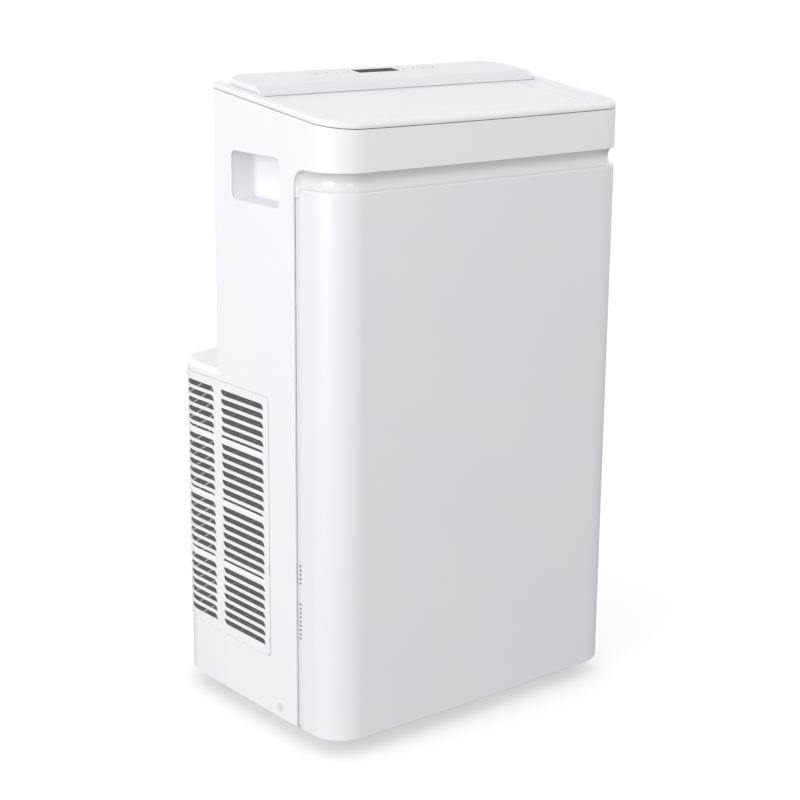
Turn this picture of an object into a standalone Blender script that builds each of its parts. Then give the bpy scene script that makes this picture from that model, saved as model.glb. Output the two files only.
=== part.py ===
"""Free-standing portable air conditioner, built as an assembly of separate pieces.

Metres, +Z up. The front faces -Y. The origin is on the floor, under the middle of the box
that holds the whole object. Depths are measured back from the front plane and heights up
from the bottom edge of the casing, which the casters hold above the floor.
"""

import math

import bmesh
import bpy
from mathutils import Vector

# Overall sizes
WIDTH = 0.440
BODY_DEPTH = 0.228
COWL_DEPTH = 0.096
FRONT_HEIGHT = 0.695
DECK_SLOPE = 0.1237
UNDER_GAP = 0.020

# Casing
WALL = 0.0025
TOUCH = 0.0003
SEAM = 0.0008
FRONT_BOW = 0.004
FRONT_CORNER = 0.0405
REAR_CORNER = 0.008
COWL_CORNER = 0.045
COWL_HEIGHT = 0.397
REAR_LIP = 0.006
BAND_HEIGHT = 0.046
PANEL_SIDE = 0.0617
STRIP_WIDTH = 0.0099
STRIP_RECESS = 0.005
STRIP_LAP = 0.006
CHANNEL_HEIGHT = 0.021
CHANNEL_DEPTH = 0.0065
CHANNEL_FILLET = 0.018
STRIP_SLOT = (0.0052, 0.0022)
STRIP_SLOT_PITCH = 0.0052
STRIP_SLOT_GROUPS = ((0.109, 9), (0.176, 5))

# Hand-holds
HOLD_BEHIND_STRIP = 0.0264
HOLD_REAR_IN = 0.038
HOLD_TOP_IN = 0.038
HOLD_HEIGHT = 0.055
HOLD_REACH = 0.036
HOLD_CORNER = 0.007
HOLD_FLANGE = 0.005

# Deck, outlet and flap
RIM_HEIGHT = 0.006
RIM_WIDTH = 0.0125
DECK_PLATE = 0.003
OUTLET_SIDE_IN = 0.045
OUTLET_FRONT = 0.031
OUTLET_BACK_GAP = 0.0015
FLAP_GAP = 0.0008
FLAP_THICK = 0.0025
FLAP_PIVOT_IN = 0.002
FLAP_PIN = 0.00125
PIN_REACH = 0.0015
PIN_CLEARANCE = 0.0003
DUCT_DEPTH = 0.075
DUCT_WALL = 0.002
DUCT_MARGIN = 0.001
VANE_COUNT = 5
VANE_SIDE_IN = 0.051
VANE_HEIGHT = 0.030
VANE_THICK = 0.0016
VANE_DROP = 0.030
VANE_END_GAP = 0.001
VANE_PIN = 0.002

# Control panel
CONTROL_SIDE_IN = 0.014
CONTROL_DEPTH = 0.0755
CONTROL_LEAN = 0.0055
CONTROL_HEIGHT = 0.01396
CONTROL_SLOPE = 0.1175
CONTROL_CHAMFER = (0.020, 0.020)
DISPLAY_SIZE = (0.054, 0.015)
DISPLAY_REAR_IN = 0.0205
DISPLAY_THICK = 0.002
BUTTON_SIZE = (0.013, 0.009)
BUTTON_HEIGHT = 0.006
BUTTON_PROUD = 0.0003
BUTTON_CLEARANCE = 0.0004
BUTTON_CORNER = 0.0015
BUTTON_NAMES = ("timer", "sleep", "down", "up", "fan", "mode", "swing", "power")
BUTTON_FIRST = 0.042
BUTTON_PITCH = 0.0155

# Side intakes
GRILLE_WALL = 0.0025
GRILLE_LAP = 0.105
GRILLE_BOTTOM = 0.070
GRILLE_TOP_IN = 0.013
GRILLE_END_IN = 0.070
GRILLE_MARGIN = 0.010
GRILLE_BAND_LAP = (0.009, 0.010)
GRILLE_ROW_PITCH = 0.011
GRILLE_SLOT = 0.0068
GRILLE_TOP_MARGIN = 0.0095
WINDOW_MARGIN = 0.006
FILTER_CLEARANCE = 0.0010
FILTER_THICK = 0.0020

# Rear: exhaust and upper intake
COLLAR_RADIUS = 0.075
COLLAR_SHELF_GAP = 0.005
COLLAR_REACH = 0.040
COLLAR_TAIL = 0.0075
COLLAR_WALL = 0.0025
COLLAR_FLANGE = 0.010
COLLAR_SIDES = 28
REAR_DOOR_SIDE_IN = 0.060
REAR_DOOR_COLLAR_GAP = 0.018
REAR_DOOR_TOP_IN = 0.0272
REAR_DOOR_WALL = 0.0025
REAR_DOOR_GAP = 0.0010
REAR_DOOR_LAP = 0.006
REAR_DOOR_ROWS = 8
REAR_DOOR_SLOT = 0.0075
REAR_DOOR_COLUMNS = 2
REAR_FILTER_THICK = 0.003

# Base and casters
PAN_THICK = 0.004
CASTER_SIDE_GAP = 0.00816
CASTER_REAR_GAP = 0.01616
CASTER_TRAIL = 0.012
WHEEL_RADIUS = 0.020
WHEEL_WIDTH = 0.016
AXLE_RADIUS = 0.0027
FORK_WALL = 0.0025
FORK_SIDE_GAP = 0.0005
FORK_CROWN = 0.004
FORK_TOP_GAP = 0.0015
STEM_RADIUS = 0.005
STEM_CLEARANCE = 0.0004
WELL_CLEARANCE = 0.0030
WELL_SIDES = 18
WELL_WALL = 0.003
WELL_HEADROOM = 0.004

# Inside
TRAY_UP = 0.340
TRAY_LIP = 0.012
TRAY_THICK = 0.0025
TRAY_FRONT = 0.020
TRAY_COIL_GAP = 0.028
EVAPORATOR_SIDE_IN = 0.060
EVAPORATOR_THICK = 0.028
EVAPORATOR_BACK_GAP = 0.012
EVAPORATOR_NECK_GAP = 0.009
CONDENSER_SIDE_IN = 0.020
CONDENSER_THICK = 0.024
CONDENSER_BEHIND_GRILLE = 0.017
CONDENSER_BACK_GAP = 0.012
CONDENSER_FLOOR_GAP = 0.0095
CONDENSER_TOP_IN = 0.047
COOL_RADIUS = 0.098
COOL_FRONT = 0.056
COOL_DEPTH = 0.076
COOL_TOP_IN = 0.180
HOT_RADIUS = 0.108
HOT_DEPTH = 0.070
HOT_UP = 0.190
HOT_REAR_IN = 0.050
HOT_COIL_GAP = 0.033
SCROLL_WALL = 0.002
WHEEL_SHARE = 0.80
INLET_SHARE = 0.72
COOL_NECK_SHARE = 0.60
BLADE_COUNT = 14
BLADE_LENGTH = 0.014
BLADE_LEAN = 0.0056
BLADE_THICK = 0.0018
HUB_RADIUS = 0.012
SHAFT_RADIUS = 0.004
MOTOR_RADIUS = 0.040
MOTOR_LENGTH = 0.036
NECK_SIDE_GAP = 0.001
NECK_TOP_GAP = 0.004
NECK_STEP_IN = 0.027
NECK_REAR_IN = 0.010
COMPRESSOR_RADIUS = 0.060
COMPRESSOR_HEIGHT = 0.210
COMPRESSOR_GAP = 0.011
COMPRESSOR_FLOOR_GAP = 0.0075
COMPRESSOR_OFF_MIDDLE = 0.00475
COMPRESSOR_FOOT = 0.006
COMPRESSOR_DOME = 0.030
ACCUMULATOR_RADIUS = 0.022
ACCUMULATOR_HEIGHT = 0.130
ACCUMULATOR_FLOOR_GAP = 0.0175
ACCUMULATOR_FORWARD = 0.020
ACCUMULATOR_DOME = 0.012
PIPE_RADIUS = 0.004
PIPE_BEND = 0.016
ELECTRONICS_SIZE = (0.074, 0.120, 0.175)
ELECTRONICS_SIDE_IN = 0.024
ELECTRONICS_FRONT = 0.030
ELECTRONICS_TRAY_GAP = 0.033
FLAP_MOTOR_RADIUS = 0.012
FLAP_MOTOR_LENGTH = 0.018

# Small fittings
DRAIN_BACK = 0.105
DRAIN_UP = 0.0125
DRAIN_RADIUS = 0.0048
DRAIN_HEAD = 0.0010
DRAIN_STEM = 0.008
GLAND_SIDE_IN = 0.120
GLAND_UP = 0.040
GLAND_RADIUS = 0.011
GLAND_BORE = 0.0045
GLAND_TAIL = 0.0075

# Smoothness of round shapes, and how far a cutter runs past what it cuts
PIN_SIDES = 12
WHEEL_SIDES = 28
SCROLL_STEPS = 16
FRONT_STEPS = 6
COWL_STEPS = 4
PAST = 0.010

# Places that follow from the sizes above
GRILLE_PROUD = TOUCH + GRILLE_WALL
SIDE_X = WIDTH / 2
FRONT_Y = -(BODY_DEPTH + COWL_DEPTH + GRILLE_PROUD - FRONT_BOW) / 2
BACK_Y = FRONT_Y + BODY_DEPTH
REAR_Y = BACK_Y + COWL_DEPTH
PANEL_HEIGHT = FRONT_HEIGHT - BAND_HEIGHT - CHANNEL_HEIGHT
STRIP_BACK = PANEL_SIDE + STRIP_WIDTH
HOLD_FRONT = STRIP_BACK + HOLD_BEHIND_STRIP
HOLD_LENGTH = BODY_DEPTH - HOLD_REAR_IN - HOLD_FRONT
HOLD_BOTTOM = FRONT_HEIGHT - HOLD_TOP_IN - HOLD_HEIGHT
CONTROL_HALF = SIDE_X - CONTROL_SIDE_IN
CONTROL_FRONT = BODY_DEPTH - CONTROL_DEPTH
DISPLAY_MIDDLE = BODY_DEPTH - DISPLAY_REAR_IN
OUTLET_HALF = SIDE_X - OUTLET_SIDE_IN
OUTLET_BACK = CONTROL_FRONT - OUTLET_BACK_GAP
VANE_PITCH = 2 * (OUTLET_HALF - VANE_SIDE_IN) / (VANE_COUNT - 1)
GRILLE_FRONT = BODY_DEPTH - GRILLE_LAP
GRILLE_HEIGHT = COWL_HEIGHT - GRILLE_TOP_IN - GRILLE_BOTTOM
GRILLE_END = SIDE_X - GRILLE_END_IN
GRILLE_BAND = (BODY_DEPTH - GRILLE_BAND_LAP[0], BODY_DEPTH + GRILLE_BAND_LAP[1])
COLLAR_OUTER = COLLAR_RADIUS + COLLAR_FLANGE
COLLAR_UP = COWL_HEIGHT + COLLAR_SHELF_GAP + COLLAR_OUTER
REAR_DOOR_HALF = SIDE_X - REAR_DOOR_SIDE_IN
REAR_DOOR_BOTTOM = COLLAR_UP + COLLAR_OUTER + REAR_DOOR_COLLAR_GAP
REAR_DOOR_TOP = FRONT_HEIGHT + DECK_SLOPE * BODY_DEPTH - REAR_DOOR_TOP_IN
FORK_REACH = math.hypot(CASTER_TRAIL + WHEEL_RADIUS, WHEEL_WIDTH / 2 + FORK_SIDE_GAP + FORK_WALL)
WELL_RADIUS = FORK_REACH + WELL_CLEARANCE
CROWN_TOP = WHEEL_RADIUS * 2 + FORK_TOP_GAP + FORK_CROWN
WELL_CEILING = CROWN_TOP + WELL_HEADROOM
WELL_TOP = WELL_CEILING + WELL_WALL - UNDER_GAP
NECK_TOP = COLLAR_UP + COLLAR_RADIUS + NECK_TOP_GAP
NECK_STEP = COWL_HEIGHT - NECK_STEP_IN
NECK_REAR = BACK_Y - NECK_REAR_IN
EVAPORATOR_HALF = SIDE_X - EVAPORATOR_SIDE_IN
EVAPORATOR_UP = NECK_TOP + EVAPORATOR_NECK_GAP
CONDENSER_HALF = SIDE_X - CONDENSER_SIDE_IN
CONDENSER_FRONT = GRILLE_FRONT + CONDENSER_BEHIND_GRILLE
CONDENSER_UP = (WELL_TOP + CONDENSER_FLOOR_GAP, COWL_HEIGHT - CONDENSER_TOP_IN)
COIL_INSIDE = CONDENSER_HALF - CONDENSER_THICK
TRAY_BACK = CONDENSER_FRONT - TRAY_COIL_GAP
COOL_UP = FRONT_HEIGHT - COOL_TOP_IN
HOT_X = -(COIL_INSIDE - HOT_COIL_GAP - HOT_RADIUS)
HOT_FRONT = BODY_DEPTH - HOT_REAR_IN
COMPRESSOR_X = COIL_INSIDE - COMPRESSOR_GAP - COMPRESSOR_RADIUS
COMPRESSOR_BACK = (WALL + HOT_FRONT) / 2 + COMPRESSOR_OFF_MIDDLE
COMPRESSOR_UP = WELL_TOP + COMPRESSOR_FLOOR_GAP
ACCUMULATOR_X = COMPRESSOR_X - COMPRESSOR_RADIUS - COMPRESSOR_GAP - ACCUMULATOR_RADIUS
ACCUMULATOR_BACK = COMPRESSOR_BACK - ACCUMULATOR_FORWARD
ACCUMULATOR_UP = WELL_TOP + ACCUMULATOR_FLOOR_GAP
GLAND_X = SIDE_X - GLAND_SIDE_IN

FINISHES = {
    "white_plastic": ((0.86, 0.86, 0.88), 0.35, 0.0),
    "grey_plastic": ((0.62, 0.62, 0.65), 0.45, 0.0),
    "gloss_channel": ((0.78, 0.78, 0.80), 0.12, 0.0),
    "panel_plastic": ((0.80, 0.80, 0.83), 0.32, 0.0),
    "dark_plastic": ((0.05, 0.05, 0.055), 0.50, 0.0),
    "display_black": ((0.03, 0.03, 0.03), 0.10, 0.0),
    "filter_mesh": ((0.30, 0.30, 0.31), 0.80, 0.0),
    "galvanised": ((0.55, 0.56, 0.57), 0.42, 1.0),
    "fin_aluminium": ((0.78, 0.79, 0.80), 0.35, 1.0),
    "compressor_paint": ((0.02, 0.02, 0.022), 0.40, 0.0),
    "copper": ((0.72, 0.40, 0.27), 0.28, 1.0),
    "tyre_grey": ((0.16, 0.16, 0.17), 0.75, 0.0),
}


def back(depth):
    """The y of a place this far behind the front plane."""
    return FRONT_Y + depth


def up(height):
    """The z of a place this far above the bottom edge of the casing."""
    return UNDER_GAP + height


def seam_z(x, y):
    """The sloping seam between the casing and the deck."""
    return up(FRONT_HEIGHT) + DECK_SLOPE * (y - FRONT_Y)


def above_seam(rise):
    return lambda x, y: seam_z(x, y) + rise


def control_top(x, y):
    """The sloping top face of the control panel, in line with its upper front edge."""
    edge = back(CONTROL_FRONT + CONTROL_LEAN)
    return seam_z(x, edge) + CONTROL_HEIGHT + CONTROL_SLOPE * (y - edge)


def level(value, x, y):
    return value(x, y) if callable(value) else value


# Shapes


def loft(shape, sections):
    """Adds a closed body through sections that have the same number of points."""
    rings = [[shape.verts.new(point) for point in section] for section in sections]
    count = len(rings[0])
    for low, high in zip(rings, rings[1:]):
        for i in range(count):
            j = (i + 1) % count
            shape.faces.new((low[i], low[j], high[j], high[i]))
    shape.faces.new(rings[0][::-1])
    shape.faces.new(rings[-1])


def place(axis, u, v, w):
    """A point from its two places across an axis and its place along it."""
    return {"X": (w, u, v), "Y": (u, w, v), "Z": (u, v, w)}[axis]


def extrusion(shape, axis, outline, low, high):
    """Adds an outline of (u, v) points drawn out along an axis, or between two heights."""
    sections = []
    for end in (low, high):
        sections.append([place(axis, u, v, level(end, u, v)) for u, v in outline])
    loft(shape, sections)


def arc(middle, radius, start, end, steps):
    """Points of an arc, from one angle in degrees to another, with both ends."""
    points = []
    for i in range(steps + 1):
        angle = math.radians(start + (end - start) * i / steps)
        points.append((middle[0] + radius * math.cos(angle), middle[1] + radius * math.sin(angle)))
    return points


def circle(middle, radius, sides):
    return arc(middle, radius, 0, 360 - 360 / sides, sides - 1)


def rectangle(us, vs, corner=0.0, steps=2):
    (u0, u1), (v0, v1) = us, vs
    if corner == 0:
        return [(u0, v0), (u1, v0), (u1, v1), (u0, v1)]
    points = arc((u0 + corner, v0 + corner), corner, 180, 270, steps)
    points += arc((u1 - corner, v0 + corner), corner, 270, 360, steps)
    points += arc((u1 - corner, v1 - corner), corner, 0, 90, steps)
    return points + arc((u0 + corner, v1 - corner), corner, 90, 180, steps)


def box(shape, xs, ys, zs):
    extrusion(shape, "Z", rectangle(xs, ys), zs[0], zs[1])


def rod(shape, axis, middle, radius, low, high, sides=24):
    extrusion(shape, axis, circle(middle, radius, sides), low, high)


def turned(shape, middle, profile, sides=24):
    """Adds a body turned about an upright axis, from (radius, z) points with both ends closed."""
    sections = []
    for radius, z in profile:
        sections.append([(x, y, z) for x, y in circle(middle, radius, sides)])
    loft(shape, sections)


def offset_points(path, distance, closed=False):
    """The path moved sideways to its right, with its straight runs kept parallel."""
    moved = []
    count = len(path)
    for i, point in enumerate(path):
        before = path[i - 1] if closed or i else None
        after = path[(i + 1) % count] if closed or i < count - 1 else None
        sides = []
        for start, end in ((before, point), (point, after)):
            if start is not None and end is not None:
                run = (Vector(end) - Vector(start)).normalized()
                sides.append(Vector((run.y, -run.x)))
        first, last = sides[0], sides[-1]
        side = (first + last) / (1 + first.dot(last))
        moved.append(tuple(Vector(point) + side * distance))
    return moved


def strip(shape, path, profile):
    """Adds a closed profile of (offset, z) points drawn along a plan path, z level or sloping."""
    sections = []
    for i in range(len(path)):
        sections.append([])
    for distance, z in profile:
        for section, (x, y) in zip(sections, offset_points(path, distance)):
            section.append((x, y, level(z, x, y)))
    loft(shape, sections)


def perforated(shape, path, inner, outer, levels, is_open):
    """Adds a sheet along a plan path, with a hole wherever is_open(segment, row) is true."""
    sides = [offset_points(path, inner), offset_points(path, outer)]
    made = {}

    def vertex(side, i, k):
        if (side, i, k) not in made:
            x, y = sides[side][i]
            made[side, i, k] = shape.verts.new((x, y, levels[k]))
        return made[side, i, k]

    def solid(i, k):
        return 0 <= i < len(path) - 1 and 0 <= k < len(levels) - 1 and not is_open(i, k)

    for i in range(len(path) - 1):
        for k in range(len(levels) - 1):
            if not solid(i, k):
                continue
            corners = ((i, k), (i + 1, k), (i + 1, k + 1), (i, k + 1))
            for side in (0, 1):
                shape.faces.new([vertex(side, *corner) for corner in corners])
            beside = ((i, k - 1), (i + 1, k), (i, k + 1), (i - 1, k))
            for edge, neighbour in enumerate(beside):
                if not solid(*neighbour):
                    a, b = corners[edge], corners[(edge + 1) % 4]
                    ends = (vertex(0, *a), vertex(0, *b), vertex(1, *b), vertex(1, *a))
                    shape.faces.new(ends)


# Objects


def paint(name, finish):
    colour, roughness, metallic = FINISHES[finish]
    made = bpy.data.materials.new(name + "_" + finish)
    made.use_nodes = True
    shader = made.node_tree.nodes["Principled BSDF"]
    shader.inputs["Base Color"].default_value = (*colour, 1.0)
    shader.inputs["Roughness"].default_value = roughness
    shader.inputs["Metallic"].default_value = metallic
    made.diffuse_color = (*colour, 1.0)
    return made


def object_from(name, shape, origin=(0.0, 0.0, 0.0)):
    """An object of this shape, whose own origin is at a given place in the world."""
    bmesh.ops.translate(shape, verts=shape.verts, vec=-Vector(origin))
    bmesh.ops.recalc_face_normals(shape, faces=shape.faces)
    mesh = bpy.data.meshes.new(name)
    shape.to_mesh(mesh)
    shape.free()
    made = bpy.data.objects.new(name, mesh)
    made.location = origin
    bpy.context.scene.collection.objects.link(made)
    return made


def piece(name, finish, shape, origin=(0.0, 0.0, 0.0), smooth=None):
    made = object_from(name, shape, origin)
    made.data.materials.append(paint(name, finish))
    if smooth is not None:
        made.data.shade_smooth()
        made.data.set_sharp_from_angle(angle=math.radians(smooth))
    return made


def combine(target, operation, shape):
    """Joins a shape to a piece, or cuts it out, with a Boolean that stays on the piece."""
    tool = object_from(f"{target.name}_tool_{len(target.modifiers)}", shape)
    tool.hide_render = True
    tool.display_type = "WIRE"
    modifier = target.modifiers.new(operation.title(), "BOOLEAN")
    modifier.operation = operation
    modifier.solver = "EXACT"
    modifier.object = tool


def cut(target, shape):
    combine(target, "DIFFERENCE", shape)


def join(target, shape):
    combine(target, "UNION", shape)


# Plan paths. Each runs with the outside of the casing on its right.


def front_arc():
    """Round the front, from one side wall to the other."""
    straight = SIDE_X - FRONT_CORNER
    middle_y = FRONT_Y + FRONT_CORNER
    points = arc((-straight, middle_y), FRONT_CORNER, 180, 270, FRONT_STEPS)
    points += [(straight * t / 3, FRONT_Y) for t in (-2, -1, 0, 1, 2)]
    points += arc((straight, middle_y), FRONT_CORNER, 270, 360, FRONT_STEPS)
    return [bowed(point) for point in points]


def mirrored(points):
    return [(-x, y) for x, y in reversed(points)]


def front_run(side_depth):
    """From the left side round the front to the right side, starting this far back."""
    start = [(-SIDE_X, back(side_depth))]
    return start + front_arc() + mirrored(start)


def full_run():
    """As front_run, but starting on the rear wall and round the small rear corners."""
    start = [(-SIDE_X + REAR_CORNER + REAR_LIP, BACK_Y)]
    start += arc((-SIDE_X + REAR_CORNER, BACK_Y - REAR_CORNER), REAR_CORNER, 90, 180, 3)
    return start + front_arc() + mirrored(start)


def bowed(point):
    """The front face swells forward a little towards its middle."""
    x, y = point
    if y >= FRONT_Y + FRONT_CORNER:
        return point
    return (x, y - FRONT_BOW * (1 - (x / SIDE_X) ** 2))


def cowl_run(stops, ends, side):
    """From the side, at these depths, round the lower rear corner to these places across."""
    points = [(SIDE_X, back(depth)) for depth in stops]
    middle = (SIDE_X - COWL_CORNER, REAR_Y - COWL_CORNER)
    points += arc(middle, COWL_CORNER, 0, 90, COWL_STEPS)
    points += [(x, REAR_Y) for x in ends]
    return points if side > 0 else mirrored(points)


# Casing


def wrap_shell():
    """Both sides and the band over the front panel, in one moulding."""
    split = up(COWL_HEIGHT)
    shape = bmesh.new()
    profile = [(0, split), (0, seam_z), (-WALL, seam_z), (-WALL, split)]
    strip(shape, full_run(), profile)
    shell = piece("wrap_shell", "white_plastic", shape, smooth=30)

    shape = bmesh.new()
    top = up(PANEL_HEIGHT + CHANNEL_HEIGHT)
    corner = (back(STRIP_BACK) - CHANNEL_FILLET, top - CHANNEL_FILLET)
    ahead = FRONT_Y - FRONT_BOW - PAST
    outline = [(ahead, 0.0), (back(STRIP_BACK), 0.0)]
    outline += arc(corner, CHANNEL_FILLET, 0, 90, 5)
    outline.append((ahead, top))
    extrusion(shape, "X", outline, -SIDE_X - PAST, SIDE_X + PAST)
    cut(shell, shape)

    shape = bmesh.new()
    for side in (-1, 1):
        xs = sorted((side * SIDE_X, side * (SIDE_X - WALL)))
        box(shape, xs, (back(STRIP_BACK), BACK_Y - SEAM), (up(0), split + WALL))
    join(shell, shape)

    shape = bmesh.new()
    for side in (-1, 1):
        xs = sorted((side * (SIDE_X - PAST), side * (SIDE_X + PAST)))
        extrusion(shape, "X", hold_outline(), *xs)
        box(shape, xs, (back(GRILLE_FRONT + WINDOW_MARGIN), BACK_Y + PAST), window_heights())
    drain = (back(DRAIN_BACK), up(DRAIN_UP))
    rod(shape, "X", drain, DRAIN_RADIUS + TOUCH, -SIDE_X - PAST, -SIDE_X + PAST, PIN_SIDES)
    cut(shell, shape)


def hold_outline(grow=0.0):
    ys = (back(HOLD_FRONT) - grow, back(HOLD_FRONT + HOLD_LENGTH) + grow)
    zs = (up(HOLD_BOTTOM) - grow, up(HOLD_BOTTOM + HOLD_HEIGHT) + grow)
    return rectangle(ys, zs, HOLD_CORNER + grow)


def window_heights():
    low = up(GRILLE_BOTTOM + WINDOW_MARGIN)
    return low, up(GRILLE_BOTTOM + GRILLE_HEIGHT - WINDOW_MARGIN)


def front_panel():
    shape = bmesh.new()
    profile = [(0, up(0)), (0, up(PANEL_HEIGHT)), (-WALL, up(PANEL_HEIGHT)), (-WALL, up(0))]
    strip(shape, front_run(PANEL_SIDE), profile)
    piece("front_panel", "panel_plastic", shape, smooth=30)


def channel_trim():
    """The hollow glossy channel between the front panel and the band."""
    low, high = up(PANEL_HEIGHT) + TOUCH, up(PANEL_HEIGHT + CHANNEL_HEIGHT) - TOUCH
    middle, half = (low + high) / 2, (high - low) / 2
    depth = CHANNEL_DEPTH
    back_wall = [(-depth * math.sqrt(max(0.0, 1 - t * t)) - WALL / 2, middle + half * t * 0.96)
                 for t in (-1.0, -0.75, -0.4, 0.0, 0.4, 0.75, 1.0)]
    behind = depth + WALL * 2
    profile = [(-WALL / 2, low)] + back_wall[1:-1] + [(-WALL / 2, high)]
    profile += [(-behind, high), (-behind, low)]
    shape = bmesh.new()
    strip(shape, front_run(STRIP_BACK - CHANNEL_FILLET), profile)
    piece("channel_trim", "gloss_channel", shape, smooth=40)


def side_strip(name, side):
    """The narrow slotted strip that closes the gap beside the front panel from behind."""
    outer = side * (SIDE_X - STRIP_RECESS)
    inner = side * (SIDE_X - STRIP_RECESS - WALL)
    ys = (back(PANEL_SIDE - STRIP_LAP), back(STRIP_BACK + STRIP_LAP))
    shape = bmesh.new()
    box(shape, sorted((outer, inner)), ys, (up(PAN_THICK + TOUCH), up(PANEL_HEIGHT) - TOUCH))
    made = piece(name, "white_plastic", shape)
    middle = back(PANEL_SIDE + STRIP_WIDTH / 2)
    width, height = STRIP_SLOT
    shape = bmesh.new()
    for first, count in STRIP_SLOT_GROUPS:
        for i in range(count):
            z = up(first + i * STRIP_SLOT_PITCH)
            xs = sorted((outer + side * PAST, inner - side * PAST))
            box(shape, xs, (middle - width / 2, middle + width / 2), (z, z + height))
    cut(made, shape)


def hand_hold(name, side):
    """A moulded pocket behind the opening, deep enough for the fingers."""
    mouth = SIDE_X - WALL - TOUCH
    deep = mouth - HOLD_REACH
    shape = bmesh.new()
    ends = sorted((side * mouth, side * (mouth - DUCT_WALL)))
    extrusion(shape, "X", hold_outline(HOLD_FLANGE), *ends)
    made = piece(name, "white_plastic", shape)
    shape = bmesh.new()
    ends = sorted((side * (mouth - TOUCH), side * deep))
    extrusion(shape, "X", hold_outline(DUCT_WALL), *ends)
    join(made, shape)
    shape = bmesh.new()
    ends = sorted((side * (mouth + PAST), side * (deep + DUCT_WALL)))
    extrusion(shape, "X", hold_outline(), *ends)
    cut(made, shape)


def top_deck():
    """The lid of the casing: a plate that slopes to the front, with a raised rim on three sides."""
    shape = bmesh.new()
    outline = offset_points(full_run(), 0)
    extrusion(shape, "Z", outline, above_seam(SEAM), above_seam(SEAM + RIM_HEIGHT))
    made = piece("top_deck", "white_plastic", shape, smooth=30)
    shape = bmesh.new()
    dish = offset_points(front_run(BODY_DEPTH + PAST), -RIM_WIDTH)
    extrusion(shape, "Z", dish, above_seam(SEAM + DECK_PLATE), above_seam(RIM_HEIGHT + PAST))
    cut(made, shape)
    shape = bmesh.new()
    ys = (back(OUTLET_FRONT), back(OUTLET_BACK))
    outline = rectangle((-OUTLET_HALF, OUTLET_HALF), ys)
    extrusion(shape, "Z", outline, above_seam(-PAST), above_seam(RIM_HEIGHT + PAST))
    cut(made, shape)
    shape = bmesh.new()
    y, z = pivot_place()
    slot = FLAP_PIN + PIN_CLEARANCE
    half = OUTLET_HALF + PIN_REACH + PIN_CLEARANCE
    outline = rectangle((-half, half), (y - slot, y + slot))
    extrusion(shape, "Z", outline, above_seam(-PAST), above_seam(RIM_HEIGHT + PAST))
    cut(made, shape)


def pivot_place():
    """The flap's hinge axis: near its rear edge, in the middle of its thickness."""
    y = back(OUTLET_BACK - FLAP_PIVOT_IN)
    return y, seam_z(0, y) + SEAM + DECK_PLATE - FLAP_THICK / 2


def outlet_flap():
    y, z = pivot_place()
    half = OUTLET_HALF - FLAP_GAP
    ys = (back(OUTLET_FRONT) + FLAP_GAP, back(OUTLET_BACK) - FLAP_GAP)
    high = SEAM + DECK_PLATE
    shape = bmesh.new()
    outline = rectangle((-half, half), ys)
    extrusion(shape, "Z", outline, above_seam(high - FLAP_THICK), above_seam(high))
    made = piece("outlet_flap", "white_plastic", shape, origin=(0, y, z))
    for side in (-1, 1):
        shape = bmesh.new()
        reach = sorted((side * (half - PIN_REACH), side * (OUTLET_HALF + PIN_REACH)))
        rod(shape, "X", (y, z), FLAP_PIN, *reach, PIN_SIDES)
        join(made, shape)


def duct_box(grow):
    half = OUTLET_HALF + DUCT_MARGIN + grow
    ys = (back(OUTLET_FRONT) - DUCT_MARGIN - grow, back(OUTLET_BACK) + DUCT_MARGIN + grow)
    return rectangle((-half, half), ys)


def vane_places():
    """The (x, z) of each guide vane's pivot."""
    z = seam_z(0, back(OUTLET_FRONT)) - VANE_DROP
    first = -VANE_PITCH * (VANE_COUNT - 1) / 2
    return [(first + VANE_PITCH * i, z) for i in range(VANE_COUNT)]


def outlet_duct():
    """The square throat under the deck, which carries the flap and the guide vanes."""
    bottom = seam_z(0, back(OUTLET_FRONT)) - DUCT_DEPTH
    shape = bmesh.new()
    extrusion(shape, "Z", duct_box(DUCT_WALL), bottom, above_seam(SEAM - TOUCH))
    made = piece("outlet_duct", "grey_plastic", shape)
    shape = bmesh.new()
    extrusion(shape, "Z", duct_box(0), bottom - PAST, above_seam(PAST))
    cut(made, shape)
    shape = bmesh.new()
    depth = (back(OUTLET_FRONT) - PAST, back(OUTLET_BACK) + PAST)
    for middle in vane_places():
        rod(shape, "Y", middle, VANE_PIN + PIN_CLEARANCE, *depth, PIN_SIDES)
    cut(made, shape)


def guide_vane(index, x, z):
    ys = (back(OUTLET_FRONT) + VANE_END_GAP, back(OUTLET_BACK) - VANE_END_GAP)
    pins = (back(OUTLET_FRONT) - DUCT_MARGIN - PIN_REACH, back(OUTLET_BACK) + DUCT_MARGIN + PIN_REACH)
    half = VANE_HEIGHT / 2
    shape = bmesh.new()
    box(shape, (x - VANE_THICK / 2, x + VANE_THICK / 2), ys, (z - half, z + half))
    made = piece(f"guide_vane_{index}", "grey_plastic", shape, origin=(x, 0, z))
    shape = bmesh.new()
    rod(shape, "Y", (x, z), VANE_PIN, *pins, PIN_SIDES)
    join(made, shape)


# Control panel


def control_outline(inset, lean=0.0):
    """The panel's plan outline, with cut rear corners; lean moves its front edge back."""
    across, along = CONTROL_CHAMFER
    rear = BACK_Y - inset
    half = CONTROL_HALF - inset
    front = back(CONTROL_FRONT) + lean + inset
    right = [(half, front), (half, rear - along), (half - across, rear)]
    return right + mirrored(right)


def top_normal():
    return Vector((0, -CONTROL_SLOPE, 1)).normalized()


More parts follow.
